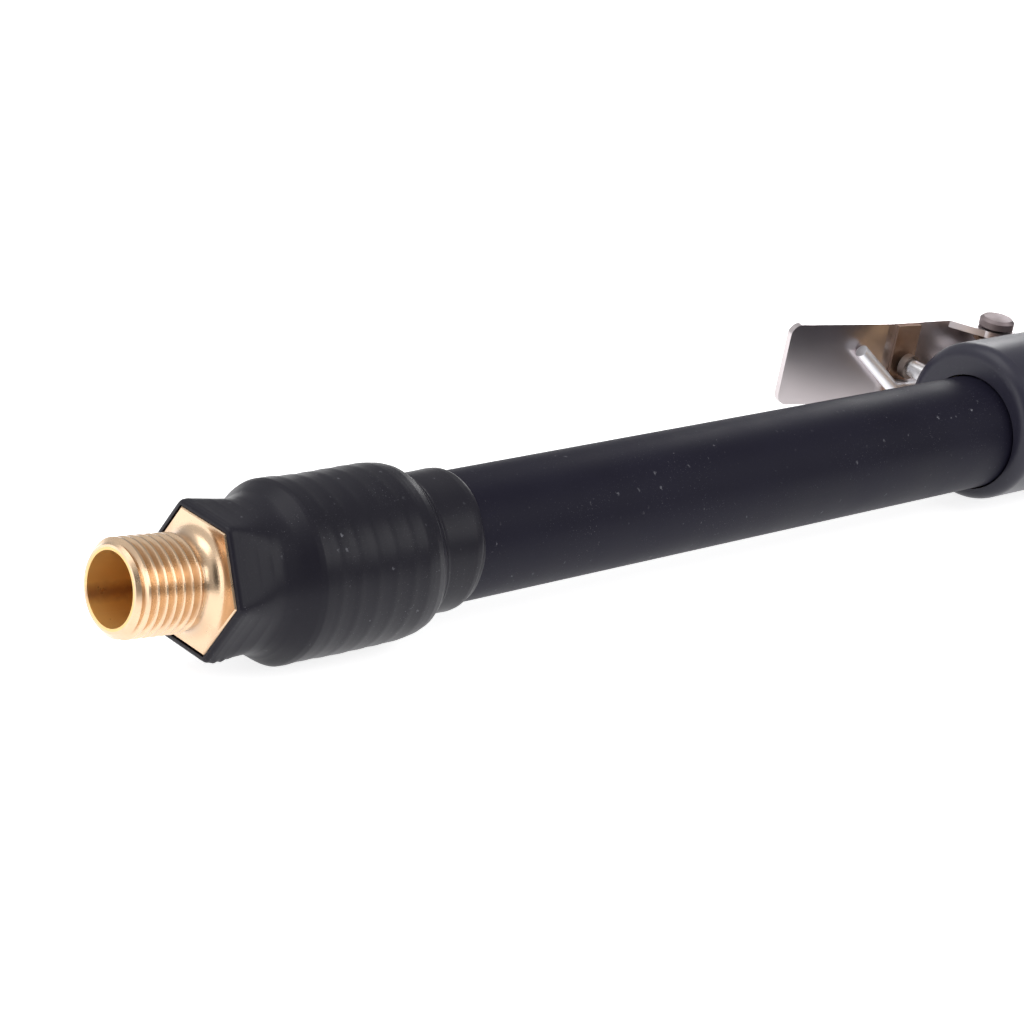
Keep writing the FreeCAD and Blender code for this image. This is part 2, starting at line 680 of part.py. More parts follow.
def lug(name, label, start, direction, placement=None):
    """A copper lug, crimped to a hexagon so that gas passes along its flats."""
    prism = hexagon_bar(name + "_prism", "lug_radius * sqrt(3)", "lug_length", start, direction)
    hole = bar(name + "_hole", "core_radius + sleeve_gap", "lug_length - lug_floor", start, direction)
    return node(cut(name, prism, [hole]), label, placement)


def conductor():
    """The stranded copper core inside the hose, and the lug at each of its ends."""
    lug("front_lug", "front_cable_lug", hose_place("lug_length + lug_margin"), Vector(1, 0, 0))
    rear_lug_start = "hex_length + tail_length - lug_margin"
    lug("rear_lug", "rear_cable_lug", spot(rear_lug_start, 0, 0), Vector(-1, 0, 0), HOSE_END)
    front = "lug_margin + lug_floor + core_gap"
    back = f"hose_reach - ({rear_lug_start} - lug_length + lug_floor + core_gap)"
    return node(hose_bar("core", "core_radius", front, back), "copper_core")


UP = Vector(0, 1, 0)
VALVE_X = rear("valve_x")
LEVER_SLOPE = "(lever_bend_y - lever_front_y) / (lever_front_x - lever_bend_x)"
LEVER_OVER_VALVE = f"(lever_bend_y - {LEVER_SLOPE} * (valve_x - lever_bend_x))"
LEVER_FACE = f"({LEVER_OVER_VALVE} - lever_sheet / 2 * 1.012)"
CAP_TOP = f"({LEVER_FACE} - pad_thickness - rest_gap)"


def across(name, radius, low, high, x=VALVE_X):
    """A cylinder square to the handle, on the lever's side, between two heights."""
    return bar(name, radius, f"({high}) - ({low})", spot(x, low, 0), UP)


def turned_up(name, points):
    """A body turned about the valve's axis, from an outline of (height, radius) corners."""
    body = turned(name, points)
    body.Placement = FreeCAD.Placement(
        spot(VALVE_X, 0, 0), FreeCAD.Rotation(Vector(1, 0, 0), UP))
    return body


def valve_body():
    """The brass block in the handle: hose spigot, valve chamber and socket for the neck."""
    back, front = rear("valve_back"), rear("valve_back + valve_length")
    block = bar("valve_block", "valve_radius", "valve_length", spot(back, 0, 0))
    tail = barbed_tail("valve_tail", "0")
    tail.Placement = FreeCAD.Placement(
        MOUTH + spot("valve_back + 1", 0, 0), FreeCAD.Rotation(Vector(0, 0, 1), 180))
    solid = joined("valve_solid", [block, tail])
    tail_end = MOUTH + spot("valve_back - tail_length", 0, 0)
    socket_depth = "(neck_socket + neck_gap)"
    tools = [
        bar("valve_tail_bore", "tail_bore", "tail_length - 2", tail_end),
        bar("valve_inlet", "drill_radius", "valve_x - valve_back + 4",
            MOUTH + spot("valve_back - 4", 0, 0)),
        across("valve_chamber", "chamber_radius", "-valve_radius - 1", "seat_y"),
        across("valve_seat", "seat_radius", "0", "valve_radius"),
        across("valve_thread", "bonnet_radius + thread_fit", "valve_radius - bonnet_depth",
               "valve_radius + 1"),
        across("valve_spot_face", "bonnet_flats / sqrt(3) + 0.4", "valve_radius - 0.4",
               "valve_radius + 1"),
        bar("valve_outlet", "drill_radius", f"valve_back + valve_length - {socket_depth} - valve_x + 0.5",
            spot(VALVE_X, "outlet_y", 0)),
        bar("valve_socket", "neck_tube_radius + thread_fit", f"{socket_depth} + 1",
            spot(f"{front} - {socket_depth}", 0, 0)),
    ]
    for place in ("screw_rear_x", "screw_front_x"):
        tools.append(across("tapped_" + place, "screw_radius + sleeve_gap",
                            "valve_radius - 4.4", "valve_radius + 1", rear(place)))
    return node(cut("valve", solid, tools), "valve_body")


def valve_parts():
    """Everything that the valve body holds: plug, spring, disc, stem, bonnet and its ring."""
    plug = across("plug_blank", "chamber_radius - thread_fit", "plug_depth - valve_radius",
                  "plug_depth - valve_radius + plug_thickness")
    slot = box("plug_slot", (f"{VALVE_X} - 0.5", "-valve_radius", "-chamber_radius"),
               (f"{VALVE_X} + 0.5", "plug_depth - valve_radius + 0.8", "chamber_radius"))
    node(cut("plug", plug, [slot]), "valve_plug")
    node(turned_up("disc", [
        ("seat_y - rest_gap - disc_thickness", "stem_radius + stem_fit"),
        ("seat_y - rest_gap", "stem_radius + stem_fit"),
        ("seat_y - rest_gap", "disc_radius"),
        ("seat_y - rest_gap - disc_thickness", "disc_radius"),
    ]), "valve_disc")
    flange_top = "seat_y - rest_gap - disc_thickness - stem_fit"
    node(turned_up("stem", [
        ("stem_bottom", 0),
        (f"{CAP_TOP} - 0.8", 0),
        (f"{CAP_TOP} - 0.8", "stem_radius"),
        (flange_top, "stem_radius"),
        (flange_top, "disc_radius - 0.4"),
        (f"{flange_top} - 1.2", "disc_radius - 0.4"),
        (f"{flange_top} - 1.2", "stem_radius"),
        ("stem_bottom", "stem_radius"),
    ]), "valve_stem")
    node(turned_up("cap", [
        (f"{CAP_TOP} - cap_height", "stem_radius + stem_fit"),
        (f"{CAP_TOP} - 0.75", "stem_radius + stem_fit"),
        (f"{CAP_TOP} - 0.75", 0),
        (CAP_TOP, 0),
        (CAP_TOP, "cap_radius * 0.55"),
        (f"{CAP_TOP} - 0.5", "cap_radius"),
        (f"{CAP_TOP} - cap_height", "cap_radius"),
    ]), "push_cap")
    ring_y = "valve_radius - bonnet_depth + 2.4"
    thread = across("bonnet_thread", "bonnet_radius", "valve_radius - bonnet_depth", "valve_radius")
    flats = hexagon_bar("bonnet_hex", "bonnet_flats", "bonnet_top - valve_radius + 0.4",
                        spot(VALVE_X, "valve_radius - 0.4", 0), UP)
    dome = turned_up("bonnet_dome", [
        ("valve_radius - 2", 0),
        ("valve_radius - 2", "bonnet_flats / sqrt(3) + 0.1"),
        ("bonnet_top - 1.2", "bonnet_flats / sqrt(3) + 0.1"),
        ("bonnet_top", "bonnet_flats / 2 - 0.6"),
        ("bonnet_top", 0),
    ])
    bonnet = joined("bonnet_solid", [thread, common("bonnet_top_hex", flats, dome)])
    bore = across("bonnet_bore", "stem_radius + stem_fit", 0, "bonnet_top + 1")
    groove = across("bonnet_groove", "stem_radius + 1.15", f"{ring_y} - 0.6", f"{ring_y} + 0.6")
    node(cut("bonnet", bonnet, [bore, groove]), "valve_bonnet")
    ring = doc.addObject("Part::Torus", "stem_ring")
    ring.Radius1 = read("stem_radius + stem_fit + 0.5")
    ring.setExpression("Radius1", bound("stem_radius + stem_fit + 0.5"))
    ring.Radius2 = 0.5
    ring.Placement = FreeCAD.Placement(
        spot(VALVE_X, ring_y, 0), FreeCAD.Rotation(Vector(0, 0, 1), UP))
    node(ring, "stem_seal")
    valve_spring(flange_top)


def valve_spring(flange_top):
    """The compression spring under the valve disc."""
    wire, coil = read("valve_wire"), read("valve_coil")
    low = read("plug_depth - valve_radius + plug_thickness + stem_fit") + wire
    high = read(f"{flange_top} - 1.2 - stem_fit") - wire
    turns = 3
    pitch = (high - low) / turns
    place = FreeCAD.Placement(spot(VALVE_X, 0, 0), FreeCAD.Rotation(Vector(0, 0, 1), UP))
    arcs, _, _ = helix_arcs(coil, pitch, 0, FULL_TURN * turns, low, place)
    print("valve spring gap between turns:", round(pitch - 2 * wire, 2))
    node(set_shape("valve_coil_wire", tube_along(arcs, wire)), "valve_spring")


def handle_tube():
    """The handle's tube, with a rounded lip at its mouth and holes for what the lever works."""
    inner, wall_end = "grip_radius - grip_wall", f"{REAR} + mouth_wall"
    hole_radius = "hose_radius + mouth_gap"
    tube = turned("grip_blank", [
        (REAR, 0), (wall_end, 0), (wall_end, inner), (FRONT, inner), (FRONT, "grip_radius"),
        (REAR, "grip_radius")])
    hole = bar("grip_mouth", hole_radius, "mouth_wall + 2", hose_place(1))
    mouth = read(REAR)
    lip = min(read("grip_lip"), 0.85 * read("mouth_wall"), 0.85 * read("grip_radius - hose_radius"))
    lipped = rounded("grip_lipped", tube, lip,
                     lambda edge: abs(edge.CenterOfMass.x - mouth) < 1e-3)
    rimmed = cut("grip_open", lipped, [hole])
    holes = [across("grip_bonnet_hole", "bonnet_flats / sqrt(3) + 0.4", 2, "grip_radius + 2")]
    for place in ("screw_rear_x", "screw_front_x"):
        holes.append(across("grip_" + place, "screw_radius + sleeve_gap", 2, "grip_radius + 2",
                            rear(place)))
    return node(cut("grip", rimmed, holes), "handle_tube")


def handle_nose():
    """The cone that closes the handle's front and holds the neck."""
    inner = "grip_radius - grip_wall - sleeve_gap"
    tip = f"{FRONT} + nose_length"
    cone = turned("nose_blank", [
        (f"{FRONT} - nose_spigot", "neck_tube_radius + sleeve_gap"),
        (f"{FRONT} - nose_spigot", inner),
        (FRONT, inner),
        (FRONT, "grip_radius"),
        (f"{FRONT} + 3", "grip_radius"),
        (tip, "nose_radius"),
        (tip, "branch_radius + sleeve_gap"),
        (f"{tip} - 8", "branch_radius + sleeve_gap"),
        (f"{tip} - 8", "neck_tube_radius + sleeve_gap"),
    ])
    return node(cone, "handle_nose")


def hinge_bracket():
    """The brass saddle on the handle, whose two ears hold the hinge pin."""
    seat = "grip_radius + sleeve_gap"
    side = "lever_width / 2 - lever_sheet - ear_gap"
    back, front = rear("bracket_back"), rear("bracket_front")
    shell = bar("bracket_shell", f"{seat} + bracket_sheet", "bracket_front - bracket_back",
                spot(back, 0, 0))
    block = box("bracket_block", (back, 0, f"-({side})"), (front, "grip_radius + 8", side))
    saddle = common("bracket_saddle", shell, block)
    ear_root = "grip_radius - 4"
    outline = [
        (rear("bracket_back"), ear_root),
        (rear("hinge_x - ear_reach * 0.9"), "hinge_y + 1"),
        (rear("hinge_x + ear_reach * 0.9"), "hinge_y + 1"),
        (rear("bracket_front - 8"), ear_root),
    ]
    ears = padded("bracket_ear_plate", outline, f"2 * ({side})")
    tops = bar("bracket_ear_top", "ear_reach", f"2 * ({side})",
               spot(rear("hinge_x"), "hinge_y", f"-({side})"), Vector(0, 0, 1))
    channel = box("bracket_channel", (f"{back} - 1", 0, f"bracket_sheet - ({side})"),
                  (f"{front} + 1", "grip_radius + 20", f"({side}) - bracket_sheet"))
    two_ears = cut("bracket_ears", joined("bracket_ear_block", [ears, tops]), [channel])
    window = box("bracket_window",
                 (rear("bracket_window_back"), "grip_radius - 3", f"bracket_sheet - ({side})"),
                 (rear("bracket_window_front"), "grip_radius + 6", f"({side}) - bracket_sheet"))
    tools = [
        bar("bracket_seat", seat, "bracket_front - bracket_back + 2", spot(f"{back} - 1", 0, 0)),
        bar("bracket_pin_hole", "pin_radius + stem_fit", "lever_width * 2",
            spot(rear("hinge_x"), "hinge_y", "-lever_width"), Vector(0, 0, 1)),
        window,
    ]
    for place in ("screw_rear_x", "screw_front_x"):
        tools.append(across("bracket_" + place, "screw_radius + sleeve_gap", 2, "grip_radius + 9",
                            rear(place)))
    bracket = cut("bracket", joined("bracket_solid", [saddle, two_ears]), tools)
    return node(bracket, "hinge_bracket")


def bracket_screws():
    """The two screws that hold bracket, handle and valve body together."""
    screws = []
    for place in ("screw_rear_x", "screw_front_x"):
        seat = "grip_radius + sleeve_gap + bracket_sheet"
        shank = across("shank_" + place, "screw_radius", "valve_radius - 4", f"{seat} + 0.5", rear(place))
        head = across("head_" + place, "screw_head", f"{seat} + 0.05", f"{seat} + 1.75", rear(place))
        socket = hexagon_bar("socket_" + place, "screw_radius * 1.6", "1.3",
                             spot(rear(place), f"{seat} + 0.9", 0), UP)
        screws.append(cut("screw_" + place, joined("screw_solid_" + place, [shank, head]), [socket]))
    group = doc.addObject("Part::Compound", "screws")
    group.Links = screws
    doc.recompute()
    return node(group, "bracket_screws")


def hinge_pin():
    """The brass hinge pin with its head, and the ring that keeps it in."""
    middle = spot(rear("hinge_x"), "hinge_y", 0)
    standing = FreeCAD.Placement(middle, FreeCAD.Rotation(Vector(1, 0, 0), Vector(0, 0, 1)))
    face = "(lever_width / 2 + ear_gap)"
    pin = turned("pin", [
        (f"-{face} - 1.6", 0),
        (f"-{face} - 1.6", "pin_radius"),
        (face, "pin_radius"),
        (face, "pin_head"),
        (f"{face} + pin_head_height - 0.5", "pin_head"),
        (f"{face} + pin_head_height", "pin_head - 0.5"),
        (f"{face} + pin_head_height", 0),
    ])
    node(pin, "hinge_pin", standing)
    ring = turned("ring", [
        (f"-{face} - 1", "pin_radius + 0.02"),
        (f"-{face} - 0.2", "pin_radius + 0.02"),
        (f"-{face} - 0.2", "pin_radius + 1.2"),
        (f"-{face} - 1", "pin_radius + 1.2"),
    ])
    ring.Placement = standing
    gap = box("ring_gap", (rear("hinge_x - 0.7"), "hinge_y + 0.5", f"-{face} - 2"),
              (rear("hinge_x + 0.7"), "hinge_y + 4", f"-{face}"))
    node(cut("clip", ring, [gap]), "pin_clip")


def lever():
    """The lever: a bent plate with two ears round the hinge pin, and a brass wear pad."""
    width, sheet = "lever_width", "lever_sheet"
    bend = (rear("lever_bend_x"), "lever_bend_y")
    pieces = [strip("lever_tail", (rear("lever_rear_x"), "lever_rear_y"), bend, sheet, width)]
    pieces.append(strip("lever_main", bend, (rear("lever_front_x"), "lever_front_y"), sheet, width))
    pieces.append(bar("lever_bend", "lever_sheet / 2", width,
                      spot(*bend, "-lever_width / 2"), Vector(0, 0, 1)))
    plate = joined("lever_strip", pieces)
    rear_x, front_x = read(rear("lever_rear_x")), read(rear("lever_front_x"))

    def corner(edge):
        at_side = abs(abs(edge.CenterOfMass.z) - read("lever_width / 2")) < 1e-3
        at_end = min(abs(edge.CenterOfMass.x - rear_x), abs(edge.CenterOfMass.x - front_x)) < 0.6
        return at_side and at_end and abs(edge.Length - read("lever_sheet")) < 1e-3

    plate = rounded("lever_rounded", plate, "lever_corner", corner)
    ears = padded("lever_ear_plate", [
        (rear("hinge_x - ear_reach * 1.8"), "hinge_y + ear_reach + 2"),
        (rear("hinge_x - ear_reach"), "hinge_y - 0.5"),
        (rear("hinge_x + ear_reach"), "hinge_y - 0.5"),
        (rear("hinge_x + ear_reach * 1.5"), "hinge_y + ear_reach + 1"),
    ], width)
    tip = bar("lever_ear_tip", "ear_reach", width, spot(rear("hinge_x"), "hinge_y", "-lever_width / 2"),
              Vector(0, 0, 1))
    channel = box("lever_channel", (rear("hinge_x - 20"), 0, "lever_sheet - lever_width / 2"),
                  (rear("hinge_x + 20"), "lever_rear_y + 10", "lever_width / 2 - lever_sheet"))
    ears = cut("lever_ears", joined("lever_ear_block", [ears, tip]), [channel])
    hole = bar("lever_pin_hole", "pin_radius + stem_fit", "lever_width * 2",
               spot(rear("hinge_x"), "hinge_y", "-lever_width"), Vector(0, 0, 1))
    node(cut("lever", joined("lever_solid", [plate, ears]), [hole]), "lever_plate")
    pad = strip("pad", (rear("valve_x - pad_width / 2"), pad_height("-pad_width / 2")),
                (rear("valve_x + pad_width / 2"), pad_height("pad_width / 2")),
                "pad_thickness", "lever_width - 0.6")
    node(pad, "wear_pad")


def pad_height(offset):
    """The middle of the wear pad's thickness, under the lever's plate."""
    return f"{LEVER_FACE} - {LEVER_SLOPE} * ({offset}) - pad_thickness / 2 * 1.012 - 0.02"


def strip(name, start, end, sheet, width):
    """A flat strip of sheet between two places, each the middle of its thickness."""
    first, last = spot(*start, 0), spot(*end, 0)
    plate = doc.addObject("Part::Box", name)
    plate.Length = (last - first).Length
    for field, size in (("Width", sheet), ("Height", width)):
        setattr(plate, field, read(size))
        plate.setExpression(field, bound(size))
    turn = FreeCAD.Rotation(Vector(1, 0, 0), last - first)
    corner = turn.multVec(Vector(0, -read(sheet) / 2, -read(width) / 2))
    plate.Placement = FreeCAD.Placement(first + corner, turn)
    doc.recompute()
    return plate


def lever_spring():
    """The torsion spring on the hinge pin: a short leg on the saddle, a long one on the lever."""
    wire, coil, pitch = read("spring_wire"), read("spring_coil"), read("spring_pitch")
    leg_start = wire
    slope = math.degrees(math.atan(read(LEVER_SLOPE)))
    sweep = FULL_TURN * (SPRING_TURNS + 0.5) - slope
    top = pitch * sweep / FULL_TURN / 2
    place = FreeCAD.Placement(spot(rear("hinge_x"), "hinge_y", 0), FreeCAD.Rotation(Vector(0, 0, 1), 0))
    arcs, (start, enter), (finish, leave) = helix_arcs(coil, -pitch, 270, sweep, top, place)
    short_turn = start - enter * leg_start
    short_tip = short_turn + spot("-short_leg", "short_leg_rise", 0)
    run = Vector(-1, read(LEVER_SLOPE), 0).normalize()
    turn_out = finish + leave * leg_start
    reach = read(rear("leg_bend_x"))
    bend = turn_out + run * ((turn_out.x - reach) / -run.x) - spot(0, "leg_drop", 0)
    tip_x = read(rear("leg_tip_x"))
    tail_rise = "(lever_rear_y - lever_bend_y) / (lever_bend_x - lever_rear_x)"
    plate_y = read(f"lever_bend_y + {tail_rise} * (lever_bend_x - leg_tip_x) - lever_sheet * 0.52")
    tip = Vector(tip_x, plate_y - wire * 1.04 - read("rest_gap"), read("leg_tip_z"))
    edges = rounded_run([short_tip, short_turn, start], 1.8 * wire) + arcs
    points = [finish, turn_out, bend, tip]
    edges += rounded_run(points, 1.8 * wire)
    points = Part.Wire(edges).discretize(Distance=0.25)
    print("lever spring gap to itself:", round(least_self_gap(points, wire, 6 * wire), 2))
    return node(set_shape("spring_wire_tube", tube_along(edges, wire)), "lever_spring")


def rounded_run(points, radius):
    """Straight runs through the points, with each corner between them rounded."""
    edges, last = [], points[0]
    for before, corner, after in zip(points, points[1:], points[2:]):
        back = (before - corner).normalize()
        ahead = (after - corner).normalize()
        half = math.acos(max(-1.0, min(1.0, -back.dot(ahead)))) / 2
        legs = radius * math.tan(half)
        begin, finish = corner + back * legs, corner + ahead * legs
        edges += [Part.LineSegment(last, begin).toShape(), tangent_arc(begin, corner, finish)]
        last = finish
    return edges + [Part.LineSegment(last, points[-1]).toShape()]


def neck_tube():
    """The copper neck, from its socket in the valve body to the head."""
    start = rear("valve_back + valve_length - neck_socket")
    length = "grip_length - valve_back - valve_length + neck_socket + head_reach"
    outside = bar("neck_outside", "neck_tube_radius", length, spot(start, 0, 0))
    bore = bar("neck_bore", "neck_tube_radius - neck_tube_wall", length, spot(start, 0, 0))
    cope = across_head("neck_cope", "core_body_radius + sleeve_gap", "-30", "30")
    return node(cut("neck", outside, [bore, cope]), "neck_tube")


def across_head(name, radius, start, end):
    """A cylinder on the cup's axis, in place."""
    return bar(name, radius, f"({end}) - ({start})", HEAD.multVec(spot(start, 0, 0)),
               HEAD.Rotation.multVec(Vector(1, 0, 0)))


def torch_core():
    """The copper body of the head, with a thread socket at each end and a gas way to the neck."""
    centre = spot(f"{FRONT} + head_reach", 0, 0)
    blank = across_head("core_blank", "core_body_radius", "-core_body_half", "core_body_half")
    tools = [
        across_head("core_bore", "core_body_bore", "-core_body_half - 1", "core_body_half + 1"),
        across_head("core_front", "front_socket", "core_body_half - socket_depth", "core_body_half + 1"),
        across_head("core_back", "back_socket", "-core_body_half - 1", "socket_depth - core_body_half"),
        bar("core_gas_way", "neck_tube_radius - neck_tube_wall", "20", centre, Vector(-1, 0, 0)),
    ]
    return node(cut("core_body", blank, tools), "torch_body")


def head_insulator():
    """The moulded rubber round the head and the start of the neck."""
    centre = spot(f"{FRONT} + head_reach", 0, 0)
    barrel = across_head("insulator_barrel", "head_radius", f"-{HEAD_HALF}", HEAD_HALF)
    branch = bar("insulator_branch", "branch_radius", "head_reach - nose_length + 7.5", centre,
                 Vector(-1, 0, 0))
    solid = joined("insulator_solid", [barrel, branch])
    rim = read("head_radius")

    def end_rim(edge):
        return edge.Curve.TypeId == "Part::GeomCircle" and abs(edge.Curve.Radius - rim) < 1e-6

    solid = rounded("insulator_rounded", solid, "1.6", end_rim)
    tools = [
        across_head("insulator_bore", "core_body_radius + sleeve_gap", f"-{HEAD_HALF} - 1",
                    f"{HEAD_HALF} + 1"),
        bar("insulator_neck", "neck_tube_radius + sleeve_gap", "head_reach + 10", centre,
            Vector(-1, 0, 0)),
    ]
    return node(cut("insulator", solid, tools), "head_insulator")


def cup_gasket():
    """The white heat-proof ring between the head and the cup."""
    face = f"{HEAD_HALF} + sleeve_gap"
    ring = turned("gasket", [
        (face, "front_socket + thread_fit"),
        (face, "gasket_radius"),
        (f"{face} + gasket_thickness - 0.8", "gasket_radius"),
        (f"{face} + gasket_thickness", "gasket_radius - 0.8"),
        (f"{face} + gasket_thickness", "front_socket + thread_fit"),
    ])
    return node(ring, "cup_gasket", HEAD)


def collet_body():
    """The copper collet body: threaded into the head, with gas holes behind the cup."""
    root = "core_body_half - socket_depth + 0.3"
    shaped = turned("collet_body_turn", [
        (root, "collet_body_bore"),
        (root, "front_socket - thread_fit"),
        (f"{HEAD_HALF} + 0.6", "front_socket - thread_fit"),
        (f"{HEAD_HALF} + 0.6", "collet_body_nose"),
        ("collet_body_end - 1.5", "collet_body_nose"),
        ("collet_body_end", "collet_body_nose - 1.5"),
        ("collet_body_end", "electrode_radius + 0.15"),
        ("collet_body_end - 1", "electrode_radius + 0.15"),
        ("collet_body_end - 5", "collet_body_bore"),
    ])
    holes = []
    for number, turn in enumerate((0, 90)):
        way = bar(f"gas_hole_{number}", "collet_body_nose / 5", "collet_body_nose * 4",
                  Vector(read("collet_body_end - 9"), 0, 0))
        heading = FreeCAD.Rotation(Vector(1, 0, 0), turn).multVec(Vector(0, 0, 1))
        start = Vector(read("collet_body_end - 9"), 0, 0) - heading * read("collet_body_nose * 2")
        way.Placement = FreeCAD.Placement(start, FreeCAD.Rotation(Vector(0, 0, 1), heading))
        holes.append(way)
    return node(cut("collet_holder", shaped, holes), "collet_body", HEAD)


def collet():
    """The split copper collet that grips the electrode."""
    tube = turned("collet_turn", [
        ("collet_start", "collet_bore"),
        ("collet_start", "collet_radius"),
        ("collet_end - 1.8", "collet_radius"),
        ("collet_end", "collet_bore + 0.45"),
        ("collet_end", "collet_bore"),
    ])
    slit = ("collet_end - 22", "-collet_radius - 1", "-collet_slit / 2")
    slit_end = ("collet_end + 1", "collet_radius + 1", "collet_slit / 2")
    level = box("collet_slit_level", slit, slit_end)
    upright = box("collet_slit_upright", (slit[0], slit[2], slit[1]),
                  (slit_end[0], slit_end[2], slit_end[1]))
    return node(cut("split_collet", tube, [level, upright]), "collet", HEAD)


def electrode():
    """The tungsten electrode, ground to a point."""
    tip = "(cup_end + electrode_stickout)"
    rod = turned("electrode_turn", [
        (f"{tip} - electrode_length", 0),
        (f"{tip} - electrode_length", "electrode_radius"),
        (f"{tip} - electrode_point", "electrode_radius"),
        (tip, 0.1),
        (tip, 0),
    ])
    return node(rod, "tungsten_electrode", HEAD)


def ceramic_cup():
    """The ceramic cup, screwed on the collet body."""
    back = f"{HEAD_HALF} + gasket_thickness + rest_gap"
    shoulder = f"{back} + cup_collar_length"
    cup = turned("cup_turn", [
        (back, "collet_body_nose + thread_fit"),
        (back, "cup_collar - 0.5"),
        (f"{back} + 0.5", "cup_collar"),
        (shoulder, "cup_collar"),
        (f"{shoulder} + 0.8", "cup_collar - 0.7"),
        ("cup_end", "cup_tip"),
        ("cup_end", "cup_mouth"),
        ("cup_end - 14", "cup_room"),
        (f"{shoulder} - 2.5", "cup_room"),
        (f"{shoulder} - 3.6", "collet_body_nose + thread_fit"),
    ])
    grooves = flutes("cup", "cup_collar", f"{back} - 1", f"{shoulder} + 2")
    return node(cut("fluted_cup", cup, grooves), "ceramic_cup", HEAD)


def flutes(name, radius, start, end):
    """Round grooves along local X, evenly spaced round a collar."""
    tools = []
    for number in range(FLUTE_COUNT):
        turn = math.radians(360 * number / FLUTE_COUNT)
        reach = read(f"{radius} + flute_radius * 0.45")
        groove = bar(f"{name}_flute_{number}", "flute_radius", f"({end}) - ({start})",
                     Vector(read(start), reach * math.cos(turn), reach * math.sin(turn)))
        tools.append(groove)
    return [joined(name + "_flutes", tools)]


def back_cap():
    """The long back cap over the electrode's tail, and the ring that seals it."""
    seat = f"-{HEAD_HALF} - sleeve_gap - oring_wire * 2 - 0.1"
    collar_end = f"{seat} - backcap_collar_length"
    cap = turned("backcap_turn", [
        ("socket_depth - core_body_half - 0.5", "backcap_bore"),
        ("socket_depth - core_body_half - 0.5", "back_socket - thread_fit"),
        (seat, "back_socket - thread_fit"),
        (seat, "backcap_collar"),
        (collar_end, "backcap_collar"),
        (f"{collar_end} - 1.5", "backcap_collar - 1.2"),
        (f"-{BACKCAP_END} + 3", "backcap_tail"),
        (f"-{BACKCAP_END} + 0.9", "backcap_tail - 0.9"),
        (f"-{BACKCAP_END}", "backcap_tail - 2.8"),
        (f"-{BACKCAP_END}", 0),
        (f"-{BACKCAP_END} + backcap_floor", 0),
        (f"-{BACKCAP_END} + backcap_floor", "electrode_radius + 0.5"),
        ("collet_start - rest_gap", "electrode_radius + 0.5"),
        ("collet_start - rest_gap", "backcap_bore"),
    ])
    grooves = flutes("backcap", "backcap_collar", f"{collar_end} - 3", f"{seat} - 1.6")
    node(cut("fluted_backcap", cap, grooves), "back_cap", HEAD)
    ring = doc.addObject("Part::Torus", "backcap_ring")
    for field, size in (("Radius1", "back_socket + oring_wire"), ("Radius2", "oring_wire")):
        setattr(ring, field, read(size))
        ring.setExpression(field, bound(size))
    place = FreeCAD.Placement(spot(f"-{HEAD_HALF} - sleeve_gap - oring_wire", 0, 0),
                              FreeCAD.Rotation(Vector(0, 0, 1), Vector(1, 0, 0)))
    node(ring, "back_cap_oring", HEAD.multiply(place))


def check_and_export():
    """Stops on a failed object or a bad shape, then writes each sub-part."""
    doc.recompute()
    for item in doc.Objects:
        if any(state in ("Invalid", "Error") for state in item.State):
            raise RuntimeError(f"{item.Label} failed: {item.State}")
    for part in NODES:
        shape = part.Shape
        if shape.isNull() or not shape.isValid() or not shape.Solids:
            raise RuntimeError(f"{part.Label} has a bad shape")
        print(f"{part.Label:22s} solids {len(shape.Solids)}  volume {shape.Volume:9.1f}")
        shape.exportStep(f"parts/{part.Label}.step")
    inlet = FITTING.multVec(spot("-neck_length - thread_length", 0, 0))
    outward = FITTING.Rotation.multVec(Vector(-1, 0, 0))
    print("thread end:", [round(v, 4) for v in inlet], "outward:", [round(v, 6) for v in outward])
    print("head centre:", [round(v, 3) for v in HEAD.Base])
    whole = Part.makeCompound([part.Shape for part in NODES]).BoundBox
    print("overall size:", round(whole.XLength, 1), round(whole.YLength, 1), round(whole.ZLength, 1))


hose_nipple()
crimp_ferrule()
heat_shrink_sleeve()
power_hose()
conductor()
valve_body()
valve_parts()
handle_tube()
handle_nose()
hinge_bracket()
bracket_screws()
hinge_pin()
lever()
lever_spring()
neck_tube()
torch_core()
head_insulator()
cup_gasket()
collet_body()
collet()
electrode()
ceramic_cup()
back_cap()
check_and_export()
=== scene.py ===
"""A gas-cooled arc welding torch: hose fitting, shrunk sleeve, hose, handle, lever and head."""

import logging
import math
from dataclasses import dataclass, field
from enum import Enum
from functools import cached_property

import bpy
from mathutils import Matrix, Vector


